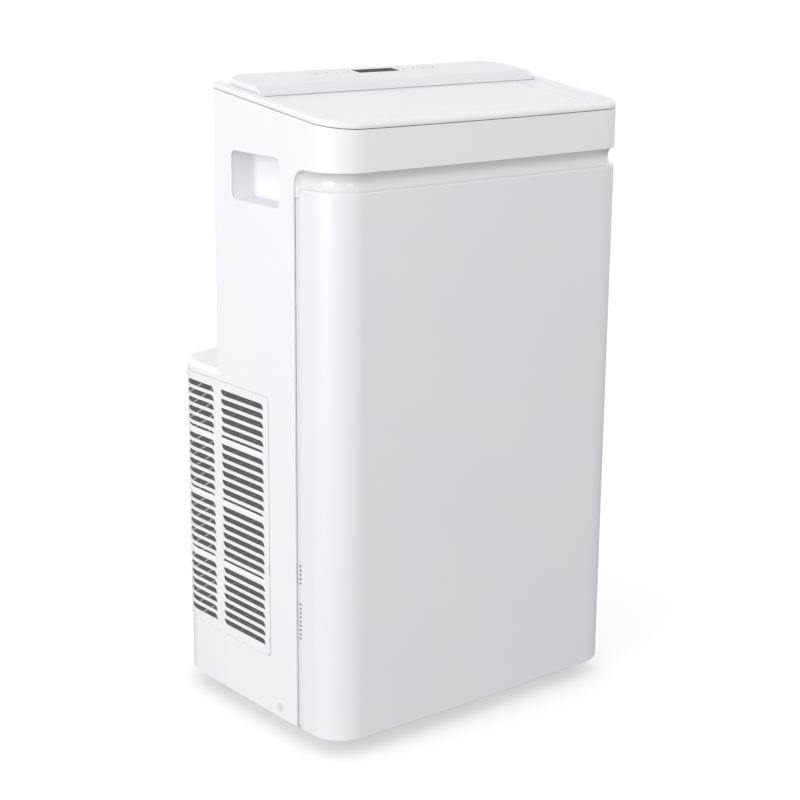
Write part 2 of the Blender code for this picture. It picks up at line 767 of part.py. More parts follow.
def control_panel():
    """The hollow cover behind the flap, with holes for the display and the buttons."""
    low = SEAM + DECK_PLATE + TOUCH
    shape = bmesh.new()
    base = [(x, y, seam_z(x, y) + low) for x, y in control_outline(0)]
    top = [(x, y, control_top(x, y)) for x, y in control_outline(0, CONTROL_LEAN)]
    loft(shape, [base, top])
    made = piece("control_panel", "panel_plastic", shape)
    shape = bmesh.new()
    floor = [(x, y, seam_z(x, y)) for x, y in control_outline(WALL)]
    ceiling = [(x, y, control_top(x, y) - WALL) for x, y in control_outline(WALL, CONTROL_LEAN)]
    loft(shape, [floor, ceiling])
    cut(made, shape)
    shape = bmesh.new()
    through = (-PAST, PAST)
    tilted_block(shape, (0, back(DISPLAY_MIDDLE)), DISPLAY_SIZE, TOUCH, *through)
    for name, x in button_places():
        middle = (x, back(DISPLAY_MIDDLE))
        tilted_block(shape, middle, BUTTON_SIZE, BUTTON_CLEARANCE, *through, BUTTON_CORNER)
    cut(made, shape)


def button_places():
    """Four buttons on each side of the display."""
    half = len(BUTTON_NAMES) // 2
    places = [-BUTTON_FIRST - BUTTON_PITCH * i for i in range(half)][::-1]
    places += [BUTTON_FIRST + BUTTON_PITCH * i for i in range(half)]
    return list(zip(BUTTON_NAMES, places))


def tilted_block(shape, middle, size, grow, low, high, corner=0.0):
    """A block square to the sloping top face, between two distances along its normal."""
    x, y = middle
    centre = Vector((x, y, control_top(x, y)))
    normal = top_normal()
    along = Vector((0, normal.z, -normal.y))
    half_u, half_v = size[0] / 2 + grow, size[1] / 2 + grow
    outline = rectangle((-half_u, half_u), (-half_v, half_v), corner)
    sections = []
    for distance in (low, high):
        start = centre + normal * distance
        sections.append([start + Vector((u, 0, 0)) + along * v for u, v in outline])
    loft(shape, sections)


def display_window():
    shape = bmesh.new()
    tilted_block(shape, (0, back(DISPLAY_MIDDLE)), DISPLAY_SIZE, 0, -DISPLAY_THICK, 0)
    piece("display_window", "display_black", shape)


def button(name, x):
    y = back(DISPLAY_MIDDLE)
    shape = bmesh.new()
    tilted_block(shape, (x, y), BUTTON_SIZE, 0, -BUTTON_HEIGHT, BUTTON_PROUD, BUTTON_CORNER)
    piece(f"button_{name}", "white_plastic", shape, origin=(x, y, control_top(x, y)))


# Rear


def rear_panel():
    """The upper rear wall, with the exhaust hole and the upper intake opening."""
    half = SIDE_X - REAR_CORNER - REAR_LIP - SEAM
    shape = bmesh.new()
    outline = rectangle((-half, half), (BACK_Y - WALL, BACK_Y))
    extrusion(shape, "Z", outline, up(COWL_HEIGHT) + TOUCH, above_seam(-TOUCH))
    made = piece("rear_panel", "white_plastic", shape)
    shape = bmesh.new()
    depth = (BACK_Y - PAST, BACK_Y + PAST)
    rod(shape, "Y", (0, up(COLLAR_UP)), COLLAR_RADIUS + TOUCH, *depth, COLLAR_SIDES)
    xs, zs = rear_door_box(-REAR_DOOR_LAP)
    box(shape, xs, depth, zs)
    cut(made, shape)


def rear_door_box(grow):
    half = REAR_DOOR_HALF + grow
    low, high = up(REAR_DOOR_BOTTOM), up(REAR_DOOR_TOP)
    return (-half, half), (low - grow, high + grow)


def rear_door_pivot():
    return BACK_Y + REAR_DOOR_GAP + REAR_DOOR_WALL / 2, up(REAR_DOOR_BOTTOM) + REAR_DOOR_WALL / 2


def rear_intake_door():
    """The upper intake grille, which tilts out at its lower edge to free the filter."""
    (left, right), (low, high) = rear_door_box(0)
    levels = [low]
    pitch = (high - low - REAR_DOOR_LAP * 2) / REAR_DOOR_ROWS
    for row in range(REAR_DOOR_ROWS):
        start = low + REAR_DOOR_LAP + pitch * row + (pitch - REAR_DOOR_SLOT) / 2
        levels += [start, start + REAR_DOOR_SLOT]
    levels.append(high)
    margin = REAR_DOOR_LAP * 2
    span = (right - left - margin) / REAR_DOOR_COLUMNS
    xs = []
    for column in range(REAR_DOOR_COLUMNS):
        start = left + margin + span * column
        xs += [start, start + span - margin]
    path = [(x, BACK_Y) for x in [right] + xs[::-1] + [left]]
    shape = bmesh.new()
    perforated(shape, path, REAR_DOOR_GAP, REAR_DOOR_GAP + REAR_DOOR_WALL, levels,
               lambda i, k: i % 2 == 1 and k % 2 == 1)
    y, z = rear_door_pivot()
    piece("rear_intake_door", "white_plastic", shape, origin=(0, y, z))


def rear_filter():
    """The filter that rides on the back of the tilting door."""
    (left, right), (low, high) = rear_door_box(-REAR_DOOR_LAP * 1.5)
    shape = bmesh.new()
    rear = BACK_Y + REAR_DOOR_GAP - TOUCH
    box(shape, (left, right), (rear - REAR_FILTER_THICK, rear), (low, high))
    y, z = rear_door_pivot()
    piece("rear_filter", "filter_mesh", shape, origin=(0, y, z))


def exhaust_collar():
    """The round socket that the exhaust hose pushes onto."""
    middle = (0, up(COLLAR_UP))
    shape = bmesh.new()
    inside = BACK_Y - COLLAR_TAIL
    rod(shape, "Y", middle, COLLAR_RADIUS, inside, BACK_Y + COLLAR_REACH, COLLAR_SIDES)
    made = piece("exhaust_collar", "white_plastic", shape, smooth=30)
    shape = bmesh.new()
    flange = (BACK_Y + TOUCH, BACK_Y + TOUCH + WALL)
    rod(shape, "Y", middle, COLLAR_OUTER, *flange, COLLAR_SIDES)
    join(made, shape)
    shape = bmesh.new()
    bore = COLLAR_RADIUS - COLLAR_WALL
    rod(shape, "Y", middle, bore, inside - PAST, BACK_Y + COLLAR_REACH + PAST, COLLAR_SIDES)
    cut(made, shape)


def cowl_outline(inset, front):
    middle = (SIDE_X - COWL_CORNER, REAR_Y - COWL_CORNER)
    right = [(SIDE_X - inset, front)] + arc(middle, COWL_CORNER - inset, 0, 90, COWL_STEPS)
    return right + mirrored(right)


def rear_cowl():
    """The lower rear extension: a shelf, two sides and a rear wall round both intakes."""
    shape = bmesh.new()
    extrusion(shape, "Z", cowl_outline(0, BACK_Y), up(0), up(COWL_HEIGHT) - TOUCH)
    made = piece("rear_cowl", "white_plastic", shape, smooth=30)
    shape = bmesh.new()
    inside = cowl_outline(WALL, BACK_Y - PAST)
    extrusion(shape, "Z", inside, up(-PAST), up(COWL_HEIGHT - WALL) - TOUCH)
    cut(made, shape)
    shape = bmesh.new()
    low, high = window_heights()
    for side in (-1, 1):
        xs = sorted((side * (SIDE_X + PAST), side * (GRILLE_END + WINDOW_MARGIN)))
        box(shape, xs, (BACK_Y - PAST, REAR_Y + PAST), (low, high))
    gland = (GLAND_X, up(GLAND_UP))
    rod(shape, "Y", gland, GLAND_RADIUS + TOUCH, REAR_Y - PAST, REAR_Y + PAST, PIN_SIDES)
    cut(made, shape)


def intake_grille(name, side):
    """The raised side grille, in two columns of slots, the rear one wrapped round the corner."""
    stops = (GRILLE_FRONT, GRILLE_FRONT + GRILLE_MARGIN, *GRILLE_BAND)
    path = cowl_run(stops, (GRILLE_END + GRILLE_MARGIN, GRILLE_END), side)
    levels = [up(GRILLE_BOTTOM)]
    top = GRILLE_BOTTOM + GRILLE_HEIGHT - GRILLE_TOP_MARGIN
    room = GRILLE_HEIGHT - GRILLE_TOP_MARGIN - GRILLE_MARGIN - GRILLE_SLOT
    for row in range(int(room / GRILLE_ROW_PITCH), -1, -1):
        high = top - GRILLE_ROW_PITCH * row
        levels += [up(high - GRILLE_SLOT), up(high)]
    levels.append(up(GRILLE_BOTTOM + GRILLE_HEIGHT))
    last = len(path) - 2
    closed = (0, 2, last) if side > 0 else (0, last - 2, last)
    shape = bmesh.new()
    perforated(shape, path, TOUCH, TOUCH + GRILLE_WALL, levels,
               lambda i, k: i not in closed and k % 2 == 1)
    piece(name, "white_plastic", shape, smooth=30)


def intake_filter(name, side):
    """The filter clipped to the back of the grille, inside the casing's opening."""
    clear = WINDOW_MARGIN + FILTER_CLEARANCE
    path = cowl_run((GRILLE_FRONT + clear,), (GRILLE_END + clear,), side)
    low, high = window_heights()
    low, high = low + FILTER_CLEARANCE, high - FILTER_CLEARANCE
    shape = bmesh.new()
    inner = -FILTER_THICK
    strip(shape, path, [(0, low), (0, high), (inner, high), (inner, low)])
    piece(name, "filter_mesh", shape, smooth=30)


def cord_gland():
    middle = (GLAND_X, up(GLAND_UP))
    shape = bmesh.new()
    rod(shape, "Y", middle, GLAND_RADIUS, REAR_Y - GLAND_TAIL, REAR_Y + GRILLE_PROUD, PIN_SIDES)
    made = piece("cord_gland", "dark_plastic", shape, smooth=40)
    shape = bmesh.new()
    rod(shape, "Y", middle, GLAND_BORE, REAR_Y - PAST, REAR_Y + PAST, PIN_SIDES)
    cut(made, shape)


def drain_plug():
    """A soft stopper low on the left side."""
    middle = (back(DRAIN_BACK), up(DRAIN_UP))
    shape = bmesh.new()
    rod(shape, "X", middle, DRAIN_RADIUS, -SIDE_X - DRAIN_HEAD, -SIDE_X + DRAIN_STEM, PIN_SIDES)
    piece("drain_plug", "white_plastic", shape, origin=(-SIDE_X, *middle), smooth=40)


# Base and casters


def caster_places():
    outer = WELL_RADIUS + WELL_WALL
    front = FRONT_Y + outer + CASTER_SIDE_GAP
    rear = REAR_Y - outer - CASTER_REAR_GAP
    side = SIDE_X - outer - CASTER_SIDE_GAP
    places = {"front_left": (-side, front), "front_right": (side, front)}
    places.update({"rear_left": (-side, rear), "rear_right": (side, rear)})
    return places


def base_pan():
    """The floor of the casing, with a raised well over each caster."""
    inset = WALL + SEAM
    outline = offset_points(front_arc(), -inset)
    rear = cowl_outline(inset, 0)[1:-1]
    shape = bmesh.new()
    extrusion(shape, "Z", outline + rear, up(0), up(PAN_THICK))
    made = piece("base_pan", "galvanised", shape)
    top = WELL_CEILING + WELL_WALL
    for place_xy in caster_places().values():
        shape = bmesh.new()
        rod(shape, "Z", place_xy, WELL_RADIUS + WELL_WALL, up(0), top, WELL_SIDES)
        join(made, shape)
    shape = bmesh.new()
    for place_xy in caster_places().values():
        rod(shape, "Z", place_xy, WELL_RADIUS, up(-PAST), WELL_CEILING, WELL_SIDES)
    cut(made, shape)
    shape = bmesh.new()
    for place_xy in caster_places().values():
        bore = STEM_RADIUS + STEM_CLEARANCE
        rod(shape, "Z", place_xy, bore, top - PAST, top + PAST, PIN_SIDES)
    cut(made, shape)


def caster(name, x, y):
    """A swivel fork on its stem, and the wheel on the fork's axle."""
    axle_y = y + CASTER_TRAIL
    crown = CROWN_TOP
    half = WHEEL_WIDTH / 2 + FORK_SIDE_GAP
    outer = half + FORK_WALL
    shape = bmesh.new()
    ys = (y - STEM_RADIUS * 1.4, axle_y + AXLE_RADIUS * 2)
    box(shape, (x - outer, x + outer), ys, (WHEEL_RADIUS - AXLE_RADIUS * 2, crown))
    fork = piece(f"caster_fork_{name}", "grey_plastic", shape, origin=(x, y, crown))
    shape = bmesh.new()
    reach = WHEEL_RADIUS + FORK_TOP_GAP
    box(shape, (x - half, x + half), (y - reach, axle_y + reach), (0, crown - FORK_CROWN))
    cut(fork, shape)
    shape = bmesh.new()
    rod(shape, "X", (axle_y, WHEEL_RADIUS), AXLE_RADIUS, x - outer + TOUCH, x + outer - TOUCH, PIN_SIDES)
    join(fork, shape)
    shape = bmesh.new()
    top = WELL_CEILING + WELL_WALL + TOUCH
    rod(shape, "Z", (x, y), STEM_RADIUS, crown - FORK_CROWN / 2, top, PIN_SIDES)
    join(fork, shape)

    shape = bmesh.new()
    ends = (x - WHEEL_WIDTH / 2, x + WHEEL_WIDTH / 2)
    rod(shape, "X", (axle_y, WHEEL_RADIUS), WHEEL_RADIUS, *ends, WHEEL_SIDES)
    wheel = piece(f"caster_wheel_{name}", "tyre_grey", shape,
                  origin=(x, axle_y, WHEEL_RADIUS), smooth=40)
    shape = bmesh.new()
    bore = AXLE_RADIUS + PIN_CLEARANCE
    rod(shape, "X", (axle_y, WHEEL_RADIUS), bore, ends[0] - PAST, ends[1] + PAST, PIN_SIDES)
    cut(wheel, shape)


# Inside


def drip_tray():
    """The divider between the cold upper part and the hot lower part."""
    half = SIDE_X - STRIP_RECESS - WALL * 3
    ys = (back(TRAY_FRONT), back(TRAY_BACK))
    shape = bmesh.new()
    box(shape, (-half, half), ys, (up(TRAY_UP), up(TRAY_UP + TRAY_LIP)))
    made = piece("drip_tray", "grey_plastic", shape)
    shape = bmesh.new()
    wall = TRAY_THICK
    xs = (-half + wall, half - wall)
    inner = (ys[0] + wall, ys[1] - wall)
    box(shape, xs, inner, (up(TRAY_UP) + wall, up(TRAY_UP + TRAY_LIP) + wall))
    cut(made, shape)


def evaporator_coil():
    rear = BACK_Y - WALL - EVAPORATOR_BACK_GAP
    zs = (up(EVAPORATOR_UP), up(FRONT_HEIGHT))
    shape = bmesh.new()
    box(shape, (-EVAPORATOR_HALF, EVAPORATOR_HALF), (rear - EVAPORATOR_THICK, rear), zs)
    piece("evaporator_coil", "fin_aluminium", shape)


def condenser_coil():
    """A coil bent in a U behind both side intakes and the rear wall."""
    front, rear = back(CONDENSER_FRONT), REAR_Y - CONDENSER_BACK_GAP
    outer, inner = CONDENSER_HALF, COIL_INSIDE
    right = [(inner, front), (outer, front)]
    bend = COWL_CORNER - CONDENSER_BACK_GAP
    right += arc((outer - bend, rear - bend), bend, 0, 90, COWL_STEPS)
    outline = right + mirrored(right)
    outline += [(-inner, rear - CONDENSER_THICK), (inner, rear - CONDENSER_THICK)]
    shape = bmesh.new()
    extrusion(shape, "Z", outline, up(CONDENSER_UP[0]), up(CONDENSER_UP[1]))
    piece("condenser_coil", "fin_aluminium", shape)


def scroll_outline(spec, inset, neck, top):
    """A snail outline in the X-Z plane, open upwards through a neck."""
    x, z = spec["x"], up(spec["up"])
    radius = spec["radius"] - inset
    left, right = neck[0] + inset, neck[1] - inset
    start, end = (math.degrees(neck_angle(edge - x, radius)) for edge in (right, left))
    points = arc((x, z), radius, start, end - 360, SCROLL_STEPS)
    return points + [(left, top), (right, top)]


def neck_angle(across, radius):
    """Where the side of a neck, this far across from the middle, meets the round part."""
    rise = math.sqrt(radius**2 - across**2) if abs(across) < radius else 0.0
    return math.atan2(rise, across)


def blower(kind, spec, neck, top, roof):
    """The housing, the wheel that turns in it and the motor in front."""
    x, z = spec["x"], up(spec["up"])
    front, rear = back(spec["front"]), back(spec["front"] + spec["depth"])
    wall = SCROLL_WALL
    shape = bmesh.new()
    extrusion(shape, "Y", scroll_outline(spec, 0, neck, top), front, rear)
    housing = piece(f"{kind}_blower_housing", "grey_plastic", shape, smooth=30)
    shape = bmesh.new()
    over = top - wall if roof else top + wall
    extrusion(shape, "Y", scroll_outline(spec, wall, neck, over), front + wall, rear - wall)
    cut(housing, shape)
    shape = bmesh.new()
    rod(shape, "Y", (x, z), spec["radius"] * INLET_SHARE, rear - PAST, rear + PAST)
    rod(shape, "Y", (x, z), SHAFT_RADIUS * 2, front - PAST, front + PAST, PIN_SIDES)
    cut(housing, shape)
    blower_wheel(f"{kind}_blower_wheel", spec, front + wall * 3, rear - wall * 3)
    shape = bmesh.new()
    rod(shape, "Y", (x, z), MOTOR_RADIUS, front - wall - MOTOR_LENGTH, front - wall)
    piece(f"{kind}_blower_motor", "galvanised", shape, smooth=30)
    return housing


def blower_wheel(name, spec, front, rear):
    """A squirrel-cage wheel: a back plate with a hub, a ring of blades and an end ring."""
    x, z = spec["x"], up(spec["up"])
    radius = spec["radius"] * WHEEL_SHARE
    inner = radius - BLADE_LENGTH
    shape = bmesh.new()
    rod(shape, "Y", (x, z), radius, front, front + SCROLL_WALL, WHEEL_SIDES)
    wheel = piece(name, "dark_plastic", shape, origin=(x, front, z))
    shape = bmesh.new()
    rod(shape, "Y", (x, z), HUB_RADIUS, front + SCROLL_WALL / 2, (front + rear) / 2, PIN_SIDES)
    join(wheel, shape)
    shape = bmesh.new()
    shaft = front - SCROLL_WALL * 4 + TOUCH
    rod(shape, "Y", (x, z), SHAFT_RADIUS, shaft, front + SCROLL_WALL, PIN_SIDES)
    join(wheel, shape)
    shape = bmesh.new()
    rod(shape, "Y", (x, z), radius, rear - SCROLL_WALL, rear, WHEEL_SIDES)
    join(wheel, shape)
    shape = bmesh.new()
    for i in range(BLADE_COUNT):
        angle = 2 * math.pi * i / BLADE_COUNT
        out = Vector((math.cos(angle), math.sin(angle)))
        across = Vector((-out.y, out.x))
        start = Vector((x, z)) + out * (inner + TOUCH)
        end = Vector((x, z)) + out * (radius - BLADE_THICK) + across * BLADE_LEAN
        thick = across * BLADE_THICK / 2
        outline = [start - thick, end - thick, end + thick, start + thick]
        extrusion(shape, "Y", [tuple(p) for p in outline], front + TOUCH, rear - TOUCH)
    join(wheel, shape)
    shape = bmesh.new()
    rod(shape, "Y", (x, z), inner, rear - SCROLL_WALL * 2, rear + SCROLL_WALL)
    cut(wheel, shape)


def cool_blower():
    """The cold-air blower, which blows straight up into the outlet duct."""
    half = min(COOL_RADIUS, OUTLET_HALF)
    top = seam_z(0, back(OUTLET_FRONT)) - DUCT_DEPTH - TOUCH
    spec = {"x": 0.0, "up": COOL_UP, "front": COOL_FRONT, "depth": COOL_DEPTH}
    spec["radius"] = COOL_RADIUS
    blower("evaporator", spec, (-half * COOL_NECK_SHARE, half), top, roof=False)


def hot_blower():
    """The hot-air blower, whose neck rises behind the cold part to the exhaust collar."""
    top = up(NECK_TOP)
    half = COLLAR_RADIUS + NECK_SIDE_GAP
    neck = (-half, half)
    spec = {"x": HOT_X, "up": HOT_UP, "front": HOT_FRONT, "depth": HOT_DEPTH}
    spec["radius"] = HOT_RADIUS
    housing = blower("condenser", spec, neck, top, roof=True)
    rear = back(HOT_FRONT + HOT_DEPTH)
    step = up(NECK_STEP)
    shape = bmesh.new()
    box(shape, (-SIDE_X, SIDE_X), (NECK_REAR, rear + PAST), (step, top + PAST))
    cut(housing, shape)
    shape = bmesh.new()
    box(shape, neck, (NECK_REAR - SCROLL_WALL, NECK_REAR), (step - SCROLL_WALL, top))
    join(housing, shape)
    shape = bmesh.new()
    box(shape, neck, (NECK_REAR - SCROLL_WALL, rear), (step - SCROLL_WALL, step))
    join(housing, shape)
    shape = bmesh.new()
    ys = (NECK_REAR - SCROLL_WALL * 2, NECK_REAR + SCROLL_WALL)
    rod(shape, "Y", (0, up(COLLAR_UP)), COLLAR_RADIUS - COLLAR_WALL, *ys, COLLAR_SIDES)
    cut(housing, shape)


def compressor():
    """A domed can on a narrower foot."""
    low, high = up(COMPRESSOR_UP), up(COMPRESSOR_UP + COMPRESSOR_HEIGHT)
    radius, foot, dome = COMPRESSOR_RADIUS, COMPRESSOR_FOOT, COMPRESSOR_DOME
    profile = [(radius - foot, low), (radius - foot, low + foot), (radius, low + foot * 2)]
    profile += [(radius, high - dome), (radius - dome * 0.3, high - dome * 0.4)]
    profile += [(radius - dome, high)]
    shape = bmesh.new()
    turned(shape, (COMPRESSOR_X, back(COMPRESSOR_BACK)), profile)
    piece("compressor", "compressor_paint", shape, smooth=40)


def accumulator():
    low, high = up(ACCUMULATOR_UP), up(ACCUMULATOR_UP + ACCUMULATOR_HEIGHT)
    radius, dome = ACCUMULATOR_RADIUS, ACCUMULATOR_DOME
    profile = [(radius - dome, low), (radius, low + dome)]
    profile += [(radius, high - dome), (radius - dome, high)]
    shape = bmesh.new()
    turned(shape, (ACCUMULATOR_X, back(ACCUMULATOR_BACK)), profile, sides=16)
    piece("accumulator", "compressor_paint", shape, smooth=40)


def pipe(name, points):
    """A bent copper tube through these points, eased at its corners."""
    eased = [Vector(points[0])]
    for before, here, after in zip(points, points[1:], points[2:]):
        before, here, after = Vector(before), Vector(here), Vector(after)
        room = min((here - before).length, (after - here).length) / 2
        bend = min(PIPE_BEND, room - TOUCH)
        start = here + (before - here).normalized() * bend
        end = here + (after - here).normalized() * bend
        for t in (0.0, 0.33, 0.67, 1.0):
            eased.append(start.lerp(here, t).lerp(here.lerp(end, t), t))
    eased.append(Vector(points[-1]))
    data = bpy.data.curves.new(name, "CURVE")
    data.dimensions = "3D"
    data.bevel_depth = PIPE_RADIUS
    data.bevel_resolution = 2
    data.use_fill_caps = True
    run = data.splines.new("POLY")
    run.points.add(len(eased) - 1)
    for point, place_xyz in zip(run.points, eased):
        point.co = (*place_xyz, 1.0)
    made = bpy.data.objects.new(name, data)
    data.materials.append(paint(name, "copper"))
    bpy.context.scene.collection.objects.link(made)


def pipes():
    """The suction line up to the cold coil, and the discharge line over to the hot one."""
    behind = back(TRAY_BACK) + PIPE_RADIUS * 3
    x, y = ACCUMULATOR_X, back(ACCUMULATOR_BACK)
    top = up(ACCUMULATOR_UP + ACCUMULATOR_HEIGHT) + TOUCH
    under = up(TRAY_UP) - PIPE_RADIUS * 8
    side = COOL_RADIUS + PIPE_RADIUS * 3
    coil_y = BACK_Y - WALL - EVAPORATOR_BACK_GAP - EVAPORATOR_THICK / 2
    coil_z = up(EVAPORATOR_UP)
    route = [(x, y, top), (x, y, under), (side, behind, under)]
    route += [(side, behind, coil_z - PIPE_RADIUS * 8), (side, coil_y, coil_z - PIPE_RADIUS * 4)]
    pipe("suction_pipe", route + [(side, coil_y, coil_z - TOUCH)])
    x, y = COMPRESSOR_X, back(COMPRESSOR_BACK)
    top = up(COMPRESSOR_UP + COMPRESSOR_HEIGHT) + TOUCH
    low = top + PIPE_RADIUS * 6
    over = up(CONDENSER_UP[1]) + PIPE_RADIUS * 5
    coil_x = COIL_INSIDE + CONDENSER_THICK / 2
    coil_y = back(CONDENSER_FRONT) + CONDENSER_THICK
    route = [(x, y, top), (x, y, low), (coil_x, behind, low), (coil_x, behind, over)]
    route += [(coil_x, coil_y, over), (coil_x, coil_y, up(CONDENSER_UP[1]) + TOUCH)]
    pipe("discharge_pipe", route)


def electronics_box():
    """The control board's case, above the tray beside the cold-air blower."""
    width, depth, height = ELECTRONICS_SIZE
    outer = SIDE_X - ELECTRONICS_SIDE_IN
    front = back(ELECTRONICS_FRONT)
    low = up(TRAY_UP + TRAY_LIP + ELECTRONICS_TRAY_GAP)
    shape = bmesh.new()
    box(shape, (outer - width, outer), (front, front + depth), (low, low + height))
    piece("electronics_box", "dark_plastic", shape)


def flap_motor():
    """The small geared motor on the duct's right side that swings the flap."""
    start = OUTLET_HALF + DUCT_MARGIN + DUCT_WALL + PIN_REACH
    y, z = pivot_place()
    shape = bmesh.new()
    middle = (y, z - FLAP_MOTOR_RADIUS - DUCT_WALL)
    rod(shape, "X", middle, FLAP_MOTOR_RADIUS, start, start + FLAP_MOTOR_LENGTH, 16)
    piece("flap_motor", "galvanised", shape, smooth=40)


def build():
    for found in list(bpy.data.objects):
        bpy.data.objects.remove(found, do_unlink=True)
    wrap_shell()
    front_panel()
    channel_trim()
    top_deck()
    outlet_flap()
    outlet_duct()
    for index, (x, z) in enumerate(vane_places(), start=1):
        guide_vane(index, x, z)
    control_panel()
    display_window()
    for name, x in button_places():
        button(name, x)
    rear_panel()
    rear_intake_door()
    rear_filter()
    exhaust_collar()
    rear_cowl()
    for name, side in (("left", -1), ("right", 1)):
        side_strip(f"side_strip_{name}", side)
        hand_hold(f"hand_hold_{name}", side)
        intake_grille(f"intake_grille_{name}", side)
        intake_filter(f"intake_filter_{name}", side)
    cord_gland()
    drain_plug()
    base_pan()
    for name, (x, y) in caster_places().items():
        caster(name, x, y)
    drip_tray()
    evaporator_coil()
    condenser_coil()
    cool_blower()
    hot_blower()
    compressor()
    accumulator()
    pipes()
    electronics_box()
    flap_motor()


build()
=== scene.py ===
# %% [markdown]
# # A portable air conditioner, dressed piece by piece
#
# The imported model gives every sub-part its true size and place, in metres, with +Z up and
# the front towards -Y. This lesson builds finely shaped pieces around it and gives each
# surface a procedural finish. Nothing is fitted by eye: each place comes from the frame.

# %% Load the frame
import contextlib
import math

import bmesh
import bpy
from mathutils import Matrix, Vector


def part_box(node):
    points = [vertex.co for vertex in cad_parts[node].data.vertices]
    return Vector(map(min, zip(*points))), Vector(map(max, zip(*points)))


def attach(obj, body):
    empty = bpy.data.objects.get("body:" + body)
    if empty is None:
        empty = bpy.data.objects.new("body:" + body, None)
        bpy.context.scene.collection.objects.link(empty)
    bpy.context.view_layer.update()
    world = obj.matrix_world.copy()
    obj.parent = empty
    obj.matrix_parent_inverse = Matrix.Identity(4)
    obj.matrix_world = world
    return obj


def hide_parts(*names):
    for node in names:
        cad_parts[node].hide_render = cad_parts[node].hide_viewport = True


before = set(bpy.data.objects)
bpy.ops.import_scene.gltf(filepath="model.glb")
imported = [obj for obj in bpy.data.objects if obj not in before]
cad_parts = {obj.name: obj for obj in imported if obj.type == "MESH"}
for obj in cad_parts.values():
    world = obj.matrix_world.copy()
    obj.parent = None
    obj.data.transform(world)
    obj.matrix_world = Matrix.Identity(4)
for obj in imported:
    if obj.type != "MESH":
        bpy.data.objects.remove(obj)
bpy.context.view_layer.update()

# %% [markdown]
# ## The sizes that the pieces share
#
# The casing is one tall box whose two front corners are rounded. A few heights and depths
# repeat in many pieces, so they are read from the frame once, and the few that the frame
# doesn't show by itself, such as a corner radius, are named beside them.

# %% Read the shared sizes
WALL = 0.0025
BOW = 0.004
FRONT_CORNER = 0.0405
REAR_CORNER = 0.006
COWL_CORNER = 0.049
GRILLE_CORNER = 0.0075
DECK_SLOPE = 0.1237
SEAM = 0.0008
TOUCH = 0.0003
TINY = 0.0002

shell_low, shell_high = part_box("wrap_shell")
panel_low, panel_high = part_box("front_panel")
cowl_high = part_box("rear_cowl")[1]
deck_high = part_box("top_deck")[1]
SIDE = shell_high.x
FRONT = shell_low.y + BOW
BACK = shell_high.y
REAR = cowl_high.y
BOTTOM = panel_low.z
SHELF = cowl_high.z
PANEL_TOP = panel_high.z
PANEL_REAR = panel_high.y
FRONT_SEAM = shell_high.z - DECK_SLOPE * (BACK - FRONT)


def seam_z(y):
    """The height of the sloping seam between the casing and the deck."""
    return FRONT_SEAM + DECK_SLOPE * (y - FRONT)


print(f"casing {2 * SIDE:.3f} wide, {BACK - FRONT:.3f} deep, front seam at {FRONT_SEAM:.4f}")

# %% [markdown]
# ## The camera
#
# The unit is seen from its left front, a little from above, with a long lens that keeps
# its upright edges nearly parallel. The view was worked out from the lengths of the edges,
# and a small shift and roll centre it in the square frame.

# %% Place the camera
CAMERA_AZIMUTH = -39.70
CAMERA_ELEVATION = 14.73
CAMERA_DISTANCE = 2.188
CAMERA_TARGET = Vector((0.0, -0.0294, 0.372))
CAMERA_LENS = 81.2
CAMERA_ROLL = 0.60
CAMERA_SHIFT = (-0.016, -0.00775)

across, rise = math.radians(CAMERA_AZIMUTH), math.radians(CAMERA_ELEVATION)
back_way = Vector((math.sin(across) * math.cos(rise), -math.cos(across) * math.cos(rise),
                   math.sin(rise)))
bpy.ops.object.camera_add(location=CAMERA_TARGET + back_way * CAMERA_DISTANCE)
camera = bpy.context.object
camera.name = "photo_camera"
turn = back_way.to_track_quat("Z", "Y") @ Matrix.Rotation(
    math.radians(CAMERA_ROLL), 4, "Z").to_quaternion()
camera.rotation_euler = turn.to_euler()
camera.data.lens = CAMERA_LENS
camera.data.shift_x, camera.data.shift_y = CAMERA_SHIFT
bpy.context.scene.camera = camera
print("camera at", [round(value, 3) for value in camera.location])

# %% [markdown]
# ## The studio
#
# White plastic is drawn by its shading alone, so the light decides everything. The room is
# white above and grey below the horizon, so faces that look down go grey, as they do over a
# dark table. A big soft key on the left makes the narrow side bright, and a weak front fill
# leaves the wide front a shade greyer. The floor is pale, and only the camera sees it, so
# that it doesn't light the underside.

# %% Build the floor, the room light and the lamps
ROOM_ABOVE, ROOM_BELOW = 1.0, 0.24


def add_lamp(name, place, target, size, power):
    bpy.ops.object.light_add(type="AREA", location=place)
    lamp = bpy.context.object
    lamp.name = name
    lamp.data.shape = "RECTANGLE"
    lamp.data.size, lamp.data.size_y = size
    lamp.data.energy = power
    way = Vector(place) - Vector(target)
    lamp.rotation_euler = way.to_track_quat("Z", "Y").to_euler()


bpy.context.scene.view_settings.view_transform = "Standard"
world = bpy.data.worlds.new("pale_room")
world.use_nodes = True
room = world.node_tree
where = room.nodes.new("ShaderNodeTexCoord")
height = room.nodes.new("ShaderNodeSeparateXYZ")
ramp = room.nodes.new("ShaderNodeMapRange")
ramp.interpolation_type = "SMOOTHSTEP"
for socket, value in zip(ramp.inputs, (0, -0.30, 0.02, ROOM_BELOW, ROOM_ABOVE)):
    socket.default_value = value
room.links.new(where.outputs["Generated"], height.inputs[0])
room.links.new(height.outputs["Z"], ramp.inputs[0])
room.links.new(ramp.outputs[0], room.nodes["Background"].inputs["Strength"])
room.nodes["Background"].inputs["Color"].default_value = (1.0, 1.0, 1.0, 1.0)
bpy.context.scene.world = world
add_lamp("key_left", (-3.0, -0.4, 0.9), (0, 0, 0.35), (2.0, 2.0), 44)
add_lamp("fill_front", (-0.6, -3.0, 1.2), (0, 0, 0.35), (1.2, 1.2), 10)
